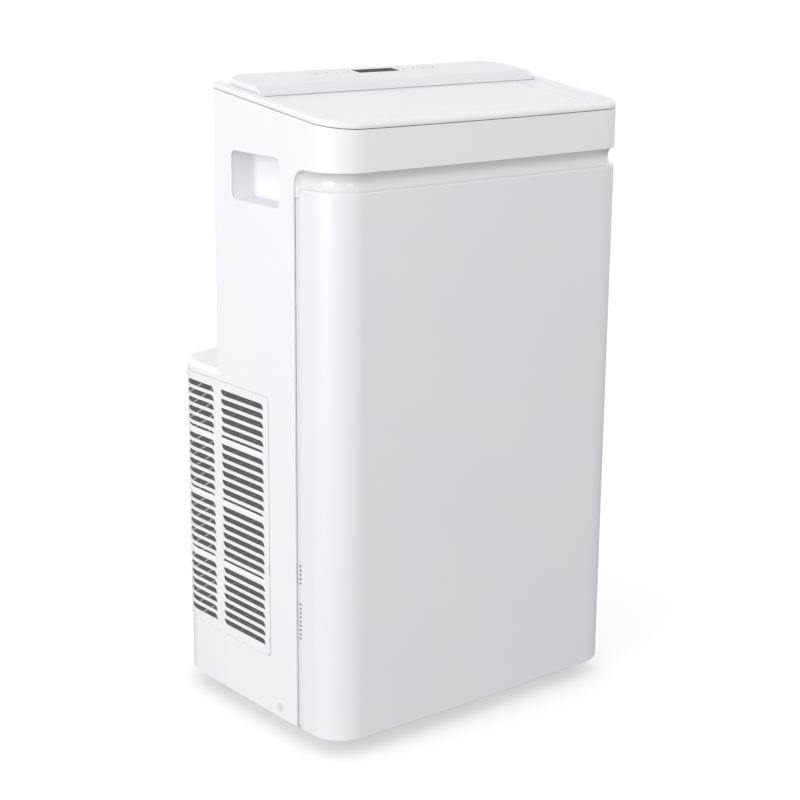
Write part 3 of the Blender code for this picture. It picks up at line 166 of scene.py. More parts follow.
bpy.ops.mesh.primitive_plane_add(size=60, location=(0, 0, 0))
floor = bpy.context.object
floor.name = "studio_floor"
floor.visible_diffuse = floor.visible_glossy = False
floor_paint = bpy.data.materials.new("floor_pale")
floor_paint.use_nodes = True
paint = floor_paint.node_tree.nodes["Principled BSDF"].inputs
paint["Base Color"].default_value = (0.50, 0.50, 0.50, 1.0)
paint["Roughness"].default_value = 0.9
paint["Emission Color"].default_value = (1.0, 1.0, 1.0, 1.0)
paint["Emission Strength"].default_value = 0.50
floor.data.materials.append(floor_paint)
print("two lamps, a room and a floor")

# %% [markdown]
# ## Shader maths as plain expressions
#
# A finish is a small sum of noises and masks. This class wraps a socket, so that a sum
# written in Python adds the Math nodes that work it out.

# %% Wrap a material's sockets
class Value:
    """A number or colour that varies over a surface."""

    def __init__(self, tree, socket):
        self.tree, self.socket = tree, socket

    def node(self, kind, settings=None, output=0, **inputs):
        """Adds a node of this type, sets it, feeds its sockets and returns one output."""
        made = self.tree.nodes.new(kind)
        for name, setting in (settings or {}).items():
            setattr(made, name, setting)
        for name, value in inputs.items():
            socket = made.inputs[int(name[1:])] if name[1:].isdigit() else made.inputs[
                name.replace("_", " ")]
            feed(self.tree, socket, value)
        return Value(self.tree, made.outputs[output])

    def maths(self, operation, first, second=0.0, third=0.0):
        return self.node("ShaderNodeMath", {"operation": operation}, i0=first, i1=second, i2=third)

    def __add__(self, other):
        return self.maths("ADD", self, other)

    def __sub__(self, other):
        return self.maths("SUBTRACT", self, other)

    def __rsub__(self, other):
        return self.maths("SUBTRACT", other, self)

    def __mul__(self, other):
        return self.maths("MULTIPLY", self, other)

    def __truediv__(self, other):
        return self.maths("DIVIDE", self, other)

    __radd__ = __add__
    __rmul__ = __mul__

    def mix(self, low, high):
        """A colour between two, with this as the share of the second."""
        return self.node("ShaderNodeMix", {"data_type": "RGBA"}, output=2, i0=self, i6=low, i7=high)

    def step(self, edge, soft):
        """0 below an edge and 1 above it, with a soft change between."""
        settings = {"interpolation_type": "SMOOTHSTEP"}
        return self.node("ShaderNodeMapRange", settings, i0=self, i1=edge - soft, i2=edge + soft)


def feed(tree, socket, value):
    if isinstance(value, Value):
        tree.links.new(value.socket, socket)
    elif isinstance(value, (tuple, list)) and len(socket.default_value) == 4:
        socket.default_value = (*value[:3], 1.0)
    else:
        socket.default_value = value


class Finish:
    """A Principled material and the coordinates that its patterns read."""

    def __init__(self, name, colour, roughness, metallic=0.0, coat=0.0):
        self.material = bpy.data.materials.new(name)
        self.material.use_nodes = True
        self.tree = self.material.node_tree
        self.shader = self.tree.nodes["Principled BSDF"]
        self.set("Base Color", (*colour, 1.0))
        self.set("Roughness", roughness)
        self.set("Metallic", metallic)
        self.set("Coat Weight", coat)
        self.material.diffuse_color = (*colour, 1.0)
        where = self.tree.nodes.new("ShaderNodeTexCoord")
        self.where = Value(self.tree, where.outputs["Object"])

    def set(self, name, value):
        feed(self.tree, self.shader.inputs[name], value)
        return self

    def noise(self, scale, detail=2.0, stretch=None):
        """Even noise, from 0 to 1, with this many blotches to a metre."""
        where = self.where
        if stretch:
            where = where.node("ShaderNodeMapping", Vector=where, Scale=stretch)
        return where.node("ShaderNodeTexNoise", Vector=where, Scale=scale, Detail=detail)

    def axis(self, index):
        return self.where.node("ShaderNodeSeparateXYZ", output=index, i0=self.where)

    def bump(self, height, distance, strength=1.0):
        normal = self.where.node("ShaderNodeBump", Height=height, Distance=distance,
                                 Strength=strength)
        return self.set("Normal", normal)


print("socket maths ready")

# %% [markdown]
# ## The white plastics
#
# The casing is injection-moulded ABS. Its skin is white with a faint cool cast and carries
# a very fine spark-eroded grain, a few tenths of a millimetre across, that spreads its
# highlights. Long soft waves, where the plastic shrank over its ribs, move the gloss a
# little, so a large flat face doesn't look like a sheet of paper.

# %% Make the moulded white finishes
def moulded(name, colour, roughness, grain=0.00003, coat=0.0, cast=(0.985, 0.985, 1.0)):
    finish = Finish(name, colour, roughness, coat=coat)
    drift = finish.noise(7.0, 3.0).step(0.5, 0.22)
    tint = tuple(a * b for a, b in zip(colour, cast))
    finish.set("Base Color", drift.mix((*colour, 1.0), (*tint, 1.0)))
    fine = finish.noise(2600.0, 2.0)
    finish.set("Roughness", roughness - 0.04 + fine * 0.05 + drift * 0.04)
    waves = finish.noise(11.0, 2.0)
    finish.bump(fine * grain + waves * 0.0004, 1.0, 0.55)
    return finish.material


casing_white = moulded("casing_white_satin", (0.845, 0.845, 0.862), 0.34)
front_white = moulded("front_panel_satin", (0.800, 0.800, 0.824), 0.30)
# The deck's white is a darker copy of the casing white: painted shade that tones down the top,
# which faces the bright room.
deck_white_painted_shade = moulded("deck_shaded_white_satin", (0.770, 0.770, 0.784), 0.32)
# The control panel's white is a darker copy of the front panel white: painted shade that tones down
# its sloping top.
control_white_painted_shade = moulded("control_panel_shaded_satin", (0.715, 0.715, 0.738), 0.28)
# The strips' white is a darker copy of the casing white: painted shade for the recess they sit in.
strip_white_painted_shade = moulded("strip_painted_shade_satin", (0.740, 0.740, 0.768), 0.36)
pocket_white = moulded("pocket_white_matt", (0.860, 0.860, 0.876), 0.46, grain=0.00006)
button_white = moulded("button_white_matt", (0.790, 0.790, 0.815), 0.42, grain=0.00005)
grey_moulding = moulded("inner_grey_moulding", (0.42, 0.42, 0.44), 0.55, grain=0.00008)
print("eight moulded finishes")

# %% [markdown]
# ## The gloss, the glass and the dark parts
#
# The channel under the top band is polished, so it gathers the room into one bright line.
# The display window is smoked acrylic over a dark board. The gland, the blower wheels and
# the control box are black plastic with a coarser grain.

# %% Make the gloss and dark finishes
channel_finish = Finish("channel_polished", (0.72, 0.72, 0.735), 0.10, coat=0.4)
channel_waves = channel_finish.noise(9.0, 2.0)
channel_finish.set("Roughness", channel_waves * 0.06 + 0.07)
channel_finish.bump(channel_waves * 0.0003, 1.0, 0.5)
channel_gloss = channel_finish.material

display_finish = Finish("display_smoked", (0.030, 0.030, 0.032), 0.45)
dust = display_finish.noise(900.0, 2.0).step(0.70, 0.06)
display_finish.set("Base Color", dust.mix((0.030, 0.030, 0.032, 1.0), (0.06, 0.06, 0.062, 1.0)))
display_finish.set("Roughness", dust * 0.15 + 0.42)
display_finish.set("Specular IOR Level", 0.03)
display_black = display_finish.material


def dark_moulding(name, colour, roughness, scale):
    finish = Finish(name, colour, roughness)
    grain = finish.noise(scale, 3.0)
    worn = finish.noise(40.0, 4.0).step(0.62, 0.10)
    pale = tuple(0.05 + 1.1 * value for value in colour)
    finish.set("Base Color", (worn * 0.35).mix((*colour, 1.0), (*pale, 1.0)))
    finish.set("Roughness", roughness - 0.06 + grain * 0.14)
    finish.bump(grain * 0.00012, 1.0, 0.6)
    return finish.material


dark_plastic = dark_moulding("dark_moulding", (0.040, 0.040, 0.043), 0.50, 1500.0)
icon_ink = dark_moulding("icon_ink", (0.34, 0.34, 0.39), 0.55, 1800.0)
tread_grey = dark_moulding("caster_tread", (0.13, 0.13, 0.14), 0.72, 900.0)
wheel_black = dark_moulding("blower_wheel_plastic", (0.030, 0.030, 0.032), 0.45, 1200.0)
print("gloss, smoked and dark finishes")

# %% [markdown]
# ## The metals
#
# Galvanised steel shows pale crystals, called spangle, of about a centimetre. A coil is a
# stack of aluminium fins 1.5 mm apart, which reads as fine upright lines. The compressor
# is black enamel, and the refrigerant lines are drawn copper with darker, oxidised patches.

# %% Make the metal finishes
steel_finish = Finish("galvanised_spangle", (0.52, 0.53, 0.54), 0.42, metallic=0.9)
spangle = steel_finish.where.node("ShaderNodeTexVoronoi", output=1, Vector=steel_finish.where,
                                  Scale=110.0)
spangle = spangle.node("ShaderNodeSeparateColor", i0=spangle)
steel_finish.set("Base Color", spangle.mix((0.46, 0.47, 0.48, 1.0), (0.60, 0.61, 0.62, 1.0)))
steel_finish.set("Roughness", spangle * 0.16 + 0.34)
steel_finish.bump(steel_finish.noise(500.0) * 0.00006, 1.0, 0.5)
sheet_steel = steel_finish.material

FIN_PITCH = 0.0015
fin_finish = Finish("coil_fins", (0.70, 0.71, 0.73), 0.38, metallic=0.9)
fin_wave = fin_finish.axis(0) + fin_finish.axis(1)
fin_wave = fin_wave.maths("PINGPONG", fin_wave, FIN_PITCH / 2) / (FIN_PITCH / 2)
fin_dirt = fin_finish.noise(25.0, 4.0).step(0.55, 0.12)
# The dark stripes in the colour are painted shade in the narrow gaps between the fins.
fin_finish.set("Base Color", fin_wave.step(0.35, 0.25).mix(
    (0.16, 0.16, 0.17, 1.0), (0.72, 0.73, 0.75, 1.0)))
fin_finish.set("Roughness", fin_dirt * 0.2 + 0.30)
fin_finish.bump(fin_wave * 0.0004, 1.0, 0.7)
fin_aluminium = fin_finish.material

enamel_finish = Finish("compressor_enamel", (0.018, 0.018, 0.020), 0.28, coat=0.3)
peel = enamel_finish.noise(260.0, 2.0)
enamel_finish.set("Roughness", peel * 0.14 + 0.20)
enamel_finish.bump(peel * 0.0003, 1.0, 0.5)
black_enamel = enamel_finish.material

copper_finish = Finish("drawn_copper", (0.72, 0.38, 0.24), 0.28, metallic=1.0)
oxide = copper_finish.noise(60.0, 5.0).step(0.58, 0.12)
copper_finish.set("Base Color", oxide.mix((0.74, 0.40, 0.26, 1.0), (0.36, 0.19, 0.13, 1.0)))
copper_finish.set("Roughness", oxide * 0.3 + 0.22)
drawn_copper = copper_finish.material
print("steel, fins, enamel and copper")

# %% [markdown]
# ## The filter screen
#
# Behind each grille lies a woven screen in a frame. From a metre away its threads melt to
# an even grey, with paler diagonal bars where the frame's braces run across. A fine grid of
# threads is drawn in the colour and the bump, and the braces are broad diagonal stripes.

# %% Make the screen finish
THREAD_PITCH = 0.0016
BRACE_PITCH = 0.016
screen_finish = Finish("filter_screen", (0.20, 0.20, 0.21), 0.78)


def threads(finish, run):
    wave = run.maths("PINGPONG", run, THREAD_PITCH / 2) / (THREAD_PITCH / 2)
    return wave.step(0.55, 0.20)


screen_run = screen_finish.axis(1) - screen_finish.axis(0)
weave = threads(screen_finish, screen_run)
weave = weave.maths("MAXIMUM", weave, threads(screen_finish, screen_finish.axis(2)))
brace = screen_run * 0.6 + screen_finish.axis(2)
brace = (brace.maths("PINGPONG", brace, BRACE_PITCH / 2) / (BRACE_PITCH / 2)).step(0.86, 0.05)
woven = weave.mix((0.035, 0.035, 0.038, 1.0), (0.120, 0.120, 0.125, 1.0))
rearward = screen_finish.axis(1).step(REAR - 0.085, 0.01) * 0.6 + 0.12
braced = brace.node("ShaderNodeMix", {"data_type": "RGBA"}, output=2, i0=brace * rearward,
                    i6=woven, i7=(0.46, 0.46, 0.48, 1.0))
screen_finish.set("Base Color", braced)
screen_finish.set("Roughness", weave * 0.1 + 0.72)
screen_finish.bump(weave * 0.0003 + brace * 0.0005, 1.0, 0.8)
filter_screen = screen_finish.material
print("woven screen")

# %% [markdown]
# ## Tools for modelling by hand
#
# Every piece starts as a primitive at its size and place. In edit mode its faces, edges or
# points are picked by where they are, and then extruded, inset, bevelled, moved or cut.
# These helpers only save typing: each wraps operators that a person would click.

# %% Define the modelling helpers

def only(piece):
    """Makes a piece the only selected object, and the active one."""
    bpy.ops.object.select_all(action="DESELECT")
    piece.select_set(True)
    bpy.context.view_layer.objects.active = piece


def settle(piece, name):
    """Names a new primitive and puts its place into its mesh."""
    piece.name = piece.data.name = name
    only(piece)
    bpy.ops.object.transform_apply(location=True, rotation=True, scale=True)
    return piece


def add_block(name, low, high, turn=(0.0, 0.0, 0.0)):
    middle = [(a + b) / 2 for a, b in zip(low, high)]
    size = [b - a for a, b in zip(low, high)]
    bpy.ops.object.select_all(action="DESELECT")
    bpy.ops.mesh.primitive_cube_add(size=1, location=middle, rotation=turn, scale=size)
    return settle(bpy.context.object, name)


def add_rod(name, axis, middle, radius, length, sides=48):
    turn = {"X": (0, math.pi / 2, 0), "Y": (math.pi / 2, 0, 0), "Z": (0, 0, 0)}[axis]
    bpy.ops.object.select_all(action="DESELECT")
    bpy.ops.mesh.primitive_cylinder_add(vertices=sides, radius=radius, depth=length,
                                        location=middle, rotation=turn)
    return settle(bpy.context.object, name)


@contextlib.contextmanager
def editing(piece):
    only(piece)
    bpy.ops.object.mode_set(mode="EDIT")
    yield
    bpy.ops.object.mode_set(mode="OBJECT")


def pick(kind, test):
    """Selects the faces, edges or points in edit mode that pass a test of place and way."""
    bpy.ops.mesh.select_all(action="DESELECT")
    bpy.ops.mesh.select_mode(type=kind)
    mesh = bmesh.from_edit_mesh(bpy.context.object.data)
    count = 0
    for item in {"FACE": mesh.faces, "EDGE": mesh.edges, "VERT": mesh.verts}[kind]:
        if kind == "FACE":
            at, way = item.calc_center_median(), item.normal
        elif kind == "EDGE":
            ends = [vert.co for vert in item.verts]
            at, way = (ends[0] + ends[1]) / 2, (ends[1] - ends[0]).normalized()
        else:
            at, way = item.co, item.normal
        if test(at, way):
            item.select_set(True)
            count += 1
    bmesh.update_edit_mesh(bpy.context.object.data)
    return count


def round_edges(radius, steps, test):
    """Bevels the edges that pass a test, with this many steps to a corner."""
    pick("EDGE", test)
    bpy.ops.mesh.bevel(offset=radius, segments=steps, affect="EDGES")


def slice_at(place, way, keep_below=False, fill=False):
    """Cuts the whole mesh by a plane, and may take away what lies above it."""
    bpy.ops.mesh.select_all(action="SELECT")
    bpy.ops.mesh.bisect(plane_co=place, plane_no=way, clear_outer=keep_below, use_fill=fill)


def take_away(kind, test):
    if pick(kind, test):
        bpy.ops.mesh.delete(type=kind)


def face_outward(piece):
    """Turns every face of a piece outward."""
    with editing(piece):
        bpy.ops.mesh.select_all(action="SELECT")
        bpy.ops.mesh.normals_make_consistent(inside=False)


def modify(piece, kind, **settings):
    """Adds a modifier and applies it."""
    made = piece.modifiers.new(kind.title(), kind)
    for name, value in settings.items():
        setattr(made, name, value)
    only(piece)
    bpy.ops.object.modifier_apply(modifier=made.name)


def cut(piece, *tools):
    """Takes the tools' shapes out of a piece."""
    for tool in tools:
        modify(piece, "BOOLEAN", operation="DIFFERENCE", solver="EXACT", object=tool)
        bpy.data.objects.remove(tool)


def ease(piece, width=0.0007, steps=2, angle=30):
    """Rounds the sharp edges, and shades the piece so that its flat faces stay flat."""
    if width:
        modify(piece, "BEVEL", width=width, segments=steps, limit_method="ANGLE",
               angle_limit=math.radians(angle), use_clamp_overlap=True)
    only(piece)
    bpy.ops.object.shade_smooth_by_angle(angle=math.radians(50))
    modify(piece, "WEIGHTED_NORMAL", weight=80, keep_sharp=True)


def dress(piece, body, slot, finish, *nodes):
    """Gives a piece its finish and its body, and hides the nodes that it stands for; the slot is
    not used.
    """
    piece.data.materials.clear()
    piece.data.materials.append(finish)
    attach(piece, body)
    if nodes:
        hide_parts(*nodes)
    print(piece.name, len(piece.data.polygons), "faces")
    return piece


# %% [markdown]
# ## The casing's plan
#
# Every big moulding follows one plan: straight sides, round front corners and a front face
# that swells forward by a few millimetres. A block is bevelled at its upright edges, its
# front is sliced into columns, and each column is pushed forward by its share of the swell.

# %% Define the casing's block
CORNER_STEPS = 14
BOW_COLUMNS = (-0.14, -0.10, -0.06, -0.02, 0.02, 0.06, 0.10, 0.14)


def swell_front():
    """Pushes the front forward column by column, most in the middle."""
    start = FRONT + FRONT_CORNER - TINY
    mesh = bmesh.from_edit_mesh(bpy.context.object.data)
    columns = sorted({round(vert.co.x, 5) for vert in mesh.verts if vert.co.y < start})
    for x in columns:
        pick("VERT", lambda at, way: at.y < start and abs(at.x - x) < TINY / 10)
        bpy.ops.transform.translate(value=(0, -BOW * (1 - (x / SIDE) ** 2), 0))


def plan_block(name, inset, low, high, rear=None, rear_corner=0.0):
    """A block with the casing's plan, drawn in by an inset."""
    rear = BACK - inset if rear is None else rear
    block = add_block(name, (-SIDE + inset, FRONT + inset, low), (SIDE - inset, rear, high))
    with editing(block):
        round_edges(FRONT_CORNER - inset, CORNER_STEPS,
                    lambda at, way: abs(way.z) > 0.9 and at.y < FRONT + inset + TINY)
        if rear_corner:
            round_edges(rear_corner, 6, lambda at, way: abs(way.z) > 0.9 and at.y > rear - TINY)
        for x in BOW_COLUMNS:
            slice_at((x, 0, 0), (1, 0, 0))
        swell_front()
    return block


def seam_plane(rise):
    """A point on the plane this far above the seam, and the plane's upward normal."""
    return (0, FRONT, FRONT_SEAM + rise), Vector((0, -DECK_SLOPE, 1)).normalized()


def trim(place, way):
    """Cuts a solid by a plane, takes away what lies beyond it and closes the cut."""
    slice_at(place, way, keep_below=True, fill=True)


def trim_over(rise):
    trim(*seam_plane(rise))


def trim_under(rise):
    place, up_way = seam_plane(rise)
    trim(place, -up_way)


def rounded_bar(name, low, high, axis, corner, steps=8):
    """A block whose edges along one axis are rounded."""
    bar = add_block(name, low, high)
    with editing(bar):
        round_edges(corner, steps, lambda at, way: abs(way["XYZ".index(axis)]) > 0.9)
    return bar


print("plan block ready")

# %% [markdown]
# ## Copies, mirrors and joins
#
# What repeats is modelled once. Each copy gets its own mesh, so that its place can be put
# into the mesh itself. A mirrored copy is inside out, so its normals are made outward.

# %% Define the copying helpers
def copy_of(piece, name, shift=(0.0, 0.0, 0.0)):
    twin = piece.copy()
    twin.data = piece.data.copy()
    twin.name = twin.data.name = name
    bpy.context.scene.collection.objects.link(twin)
    twin.data.transform(Matrix.Translation(shift))
    return twin


def mirror_of(piece, name):
    """A copy on the other side."""
    twin = copy_of(piece, name)
    twin.data.transform(Matrix.Scale(-1, 4, (1, 0, 0)))
    face_outward(twin)
    return twin


def joined(name, *pieces):
    bpy.ops.object.select_all(action="DESELECT")
    for piece in pieces:
        piece.select_set(True)
    bpy.context.view_layer.objects.active = pieces[0]
    bpy.ops.object.join()
    pieces[0].name = pieces[0].data.name = name
    return pieces[0]


def row_of(piece, name, shifts):
    """Joins copies of a piece, one at each shift."""
    twins = [copy_of(piece, f"{name}_{i}", shift) for i, shift in enumerate(shifts)]
    bpy.data.objects.remove(piece)
    return joined(name, *twins)


def weld(piece, *others):
    """Adds other shapes to a piece and keeps one clean skin."""
    for other in others:
        modify(piece, "BOOLEAN", operation="UNION", solver="EXACT", object=other)
        bpy.data.objects.remove(other)


# %% [markdown]
# ## The run round the rear corner
#
# Each side grille starts on the side and turns round the rear corner. Such a part is made
# flat, because round-ended slots are easy to cut in a flat plate. It is then sliced into
# narrow strips where it must bend, and each of its points is laid on the real curve. That
# last step is done in code, as no hand operator bends a plate round a true arc.

# %% Define how a flat piece is laid on the side
grille_low, grille_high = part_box("intake_grille_left")
CORNER_START = REAR - COWL_CORNER - grille_low.y
ARC_LENGTH = COWL_CORNER * math.pi / 2
GRILLE_LENGTH = CORNER_START + ARC_LENGTH + SIDE - COWL_CORNER + grille_high.x
ARC_STRIPS = 16


def on_side(run, out):
    """The place this far along the side and round the corner, and this far out of it."""
    if run <= CORNER_START:
        return -SIDE - out, grille_low.y + run
    if run <= CORNER_START + ARC_LENGTH:
        turned = (run - CORNER_START) / COWL_CORNER
        reach = COWL_CORNER + out
        return (-SIDE + COWL_CORNER - reach * math.cos(turned),
                REAR - COWL_CORNER + reach * math.sin(turned))
    return -SIDE + COWL_CORNER + run - CORNER_START - ARC_LENGTH, REAR + out


def lay_on_side(flat):
    """Bends a piece whose X runs along the side and whose Y points out of it."""
    with editing(flat):
        for index in range(ARC_STRIPS + 1):
            slice_at((CORNER_START + ARC_LENGTH * index / ARC_STRIPS, 0, 0), (1, 0, 0))
    for vert in flat.data.vertices:
        run, out, z = vert.co
        vert.co = (*on_side(run, out), z)
    face_outward(flat)
    return flat


def seats():
    """The shallow seats that both grilles lie in."""
    seat = add_block("seat", (-0.0006, -0.0015, grille_low.z - 0.0006),
                     (GRILLE_LENGTH + 0.0006, 0.02, grille_high.z + 0.0006))
    with editing(seat):
        round_edges(GRILLE_CORNER, 6, lambda at, way: abs(way.y) > 0.9 and at.x < TINY)
    lay_on_side(seat)
    return seat, mirror_of(seat, "seat_right")


# %% [markdown]
# ## The wrap shell
#
# On the real unit the two sides and the band above the front panel are one thin moulding.
# It could be drawn wall by wall, but a hollow block keeps the corners true: its top, bottom
# and rear are deleted, the rest gets a wall by Solidify, and the openings for the front,
# the hands and the side grilles are then cut through it.

# %% Model the wrap shell
LIP = 0.014
OPENING_FILLET = 0.018
PANEL_CORNER = 0.010
CHANNEL_TOP = PANEL_TOP + 0.021
STRIP_REAR = FRONT + 0.0716
COWL_LAP = 0.0085
hold_low, hold_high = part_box("hand_hold_left")
hold_low, hold_high = hold_low.yz + Vector((0.005, 0.005)), hold_high.yz - Vector((0.005, 0.005))
WINDOW_IN = 0.006

shell = plan_block("casing_wrap", 0, BOTTOM, shell_high.z + 0.02, rear_corner=REAR_CORNER)
with editing(shell):
    slice_at(*seam_plane(0), keep_below=True)
    for x in (-SIDE + LIP, SIDE - LIP):
        slice_at((x, 0, 0), (1, 0, 0))
    take_away("FACE", lambda at, way: abs(way.z) > 0.9)
    take_away("FACE", lambda at, way: at.y > BACK - TINY and abs(at.x) < SIDE - LIP)
modify(shell, "SOLIDIFY", thickness=WALL, offset=-1, use_even_offset=True)
opening = add_block("opening", (-0.3, FRONT - 0.03, 0), (0.3, STRIP_REAR, CHANNEL_TOP))
with editing(opening):
    round_edges(OPENING_FILLET, 12, lambda at, way: abs(way.x) > 0.9
                and at.y > STRIP_REAR - TINY and at.z > CHANNEL_TOP - TINY)
cut(shell, opening)
cut(shell, rounded_bar("hands", (-0.3, *hold_low), (0.3, *hold_high), "X", 0.007))
cut(shell, add_block("windows", (-0.3, grille_low.y + WINDOW_IN, grille_low.z + WINDOW_IN),
                     (0.3, BACK + 0.02, grille_high.z - WINDOW_IN)))
cut(shell, add_block("cowl_lap", (-0.3, BACK - COWL_LAP, 0), (0.3, BACK + 0.02, SHELF + TOUCH)))
plug_low, plug_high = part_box("drain_plug")
plug_middle = (plug_low + plug_high) / 2
cut(shell, add_rod("drain", "X", (-SIDE, *plug_middle.yz), 0.0051, 0.02, 24))
cut(shell, *seats())
ease(shell, 0.0009, 3)
dress(shell, "cabinet", "casing_white", casing_white, "wrap_shell")

# %% [markdown]
# ## The front panel
#
# The wide front cover clips over the front of the unit and turns round both corners. It is
# the same plan again, cut off behind the corners, with rounded upper ends on its sides.

# %% Model the front panel
front = plan_block("front_cover", 0, BOTTOM, PANEL_TOP, rear=PANEL_REAR)
with editing(front):
    take_away("FACE", lambda at, way: abs(way.z) > 0.9 or at.y > PANEL_REAR - TINY)
modify(front, "SOLIDIFY", thickness=WALL, offset=-1, use_even_offset=True)
with editing(front):
    round_edges(PANEL_CORNER, 8, lambda at, way: abs(way.x) > 0.9
                and at.y > PANEL_REAR - TINY and at.z > PANEL_TOP - TINY)
ease(front, 0.0011, 3)
dress(front, "cabinet", "panel_white", front_white, "front_panel")

# %% [markdown]
# ## The polished channel
#
# Between the front panel and the band runs a hollow channel, half a pipe laid on its side,
# which lets a finger behind the panel. At each end it turns down beside the panel, gets
# narrower and shallower, and stops at a fine seam. No hand operator sweeps a profile that
# changes its width, so its rows of points are worked out in code and joined into a sheet.
# Solidify then gives the sheet its wall.

# %% Model the channel
CHANNEL_DEPTH, END_DEPTH = 0.0066, 0.0036
CHANNEL_IN = 0.0006
CREVICE = 0.0006
CHANNEL_END = PANEL_TOP - 0.011
PROFILE_STEPS, TURN_STEPS = 14, 10


def plan_point(run):
    """A place and its outward way on the casing's plan, from -1 at the left to 1."""
    side = -1 if run < 0 else 1
    straight = SIDE - FRONT_CORNER
    if abs(run) <= 0.5:
        x = 2 * run * straight
        place, way = Vector((x, FRONT, 0)), Vector((0, -1, 0))
    else:
        turned = (abs(run) - 0.5) * math.pi
        way = Vector((side * math.sin(turned), -math.cos(turned), 0))
        place = Vector((side * straight, FRONT + FRONT_CORNER, 0)) + way * FRONT_CORNER
    place.y -= BOW * (1 - (place.x / SIDE) ** 2)
    return place, way


def hollow_row(lower, upper, way, depth):
    """Points from the lower to the upper edge of the channel, hollowed by a half circle."""
    row = []
    for step in range(PROFILE_STEPS + 1):
        turned = math.pi * step / PROFILE_STEPS
        share = (1 - math.cos(turned)) / 2
        row.append(lower.lerp(upper, share) - way * (CHANNEL_IN + depth * math.sin(turned)))
    return row


def end_rows(side):
    """The channel's end on one side, from its foot up and round to the front."""
    way = Vector((side, 0, 0))
    inner_y, inner_z = PANEL_REAR - PANEL_CORNER, PANEL_TOP - PANEL_CORNER
    outer_y, outer_z = STRIP_REAR - OPENING_FILLET, CHANNEL_TOP - OPENING_FILLET
    rows = [hollow_row(Vector((side * SIDE, PANEL_REAR + CREVICE, CHANNEL_END)),
                       Vector((side * SIDE, STRIP_REAR, CHANNEL_END)), way, END_DEPTH)]
    for step in range(TURN_STEPS + 1):
        turned = math.pi / 2 * step / TURN_STEPS
        along, up = math.cos(turned), math.sin(turned)
        lower = Vector((side * SIDE, inner_y + (PANEL_CORNER + CREVICE) * along,
                        inner_z + (PANEL_CORNER + CREVICE) * up))
        upper = Vector((side * SIDE, outer_y + OPENING_FILLET * along,
                        outer_z + OPENING_FILLET * up))
        depth = END_DEPTH + (CHANNEL_DEPTH - END_DEPTH) * (1 - along)
        rows.append(hollow_row(lower, upper, way, depth))
    return rows


def sheet(name, rows):
    """A sheet of faces through rows of points."""
    mesh = bmesh.new()
    grid = [[mesh.verts.new(point) for point in row] for row in rows]
    for first, second in zip(grid, grid[1:]):
        for index in range(len(first) - 1):
            mesh.faces.new((first[index], second[index], second[index + 1], first[index + 1]))
    made = bpy.data.objects.new(name, bpy.data.meshes.new(name))
    mesh.to_mesh(made.data)
    bpy.context.scene.collection.objects.link(made)
    face_outward(made)
    return made


rows = end_rows(-1)
for step in range(61):
    place, way = plan_point(-1 + 2 * step / 60)
    lower, upper = place.copy(), place.copy()
    lower.z, upper.z = PANEL_TOP + CREVICE, CHANNEL_TOP
    rows.append(hollow_row(lower, upper, way, CHANNEL_DEPTH))
rows += end_rows(1)[::-1]
channel = sheet("finger_channel", rows)
if sum(face.normal.z for face in channel.data.polygons if face.center.z < PANEL_TOP + 0.005) < 0:
    channel.data.flip_normals()
modify(channel, "SOLIDIFY", thickness=0.001, offset=-1)
ease(channel, 0)
dress(channel, "cabinet", "channel_gloss", channel_gloss, "channel_trim")

# %% [markdown]
# ## The slotted strips
#
# In the gap beside the front panel a narrow strip closes the casing. It is a flat bar with
# two groups of small slots near its foot. One strip is cut and mirrored.

# %% Model the strips
STRIP_IN = 0.0030
STRIP_SLOT_HIGH, STRIP_SLOT_LONG, STRIP_PITCH = 0.0022, 0.0052, 0.0052
strip_low, strip_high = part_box("side_strip_left")
strip_x = -SIDE + STRIP_IN
strip_y = (PANEL_REAR + STRIP_REAR) / 2
strip = add_block("gap_strip_left", (strip_x, strip_low.y, BOTTOM + SEAM),
                  (strip_x + 0.0022, strip_high.y, CHANNEL_END - SEAM / 2))
for foot, count in ((0.109, 9), (0.176, 5)):
    for index in range(count):
        z = BOTTOM + foot + STRIP_PITCH * index
        cut(strip, rounded_bar("slot", (strip_x - 0.01, strip_y - STRIP_SLOT_LONG / 2, z),
                               (strip_x + 0.01, strip_y + STRIP_SLOT_LONG / 2, z + STRIP_SLOT_HIGH),
                               "X", 0.001, 4))
ease(strip, 0.0003, 2)

# %% Mirror the strip
right_strip = mirror_of(strip, "gap_strip_right")
dress(strip, "cabinet", "casing_white", strip_white_painted_shade, "side_strip_left")
dress(right_strip, "cabinet", "casing_white", strip_white_painted_shade, "side_strip_right")

# %% [markdown]
# ## The deck
#
# The lid is a dish with a soft raised rim on three sides, and it slopes to the front. It is
# cut from the casing's block by two sloping planes. Its outer edge gets a large round, a
# smaller block sinks the dish, and the outlet is cut last, so that its edges stay crisp.

# %% Model the deck
RIM_WIDTH = 0.0125
PLATE_RISE = SEAM + 0.003
RIM_RISE = SEAM + 0.006
RIM_ROUND = 0.0046
CONTROL_DEPTH = 0.0755
OUTLET_HALF = SIDE - 0.045
OUTLET_YS = (FRONT + 0.031, BACK - CONTROL_DEPTH - 0.0015)
FLAP_GAP = 0.0008
pin_y = OUTLET_YS[1] - 0.002


def above_seam(at):
    return at.z - seam_z(at.y)


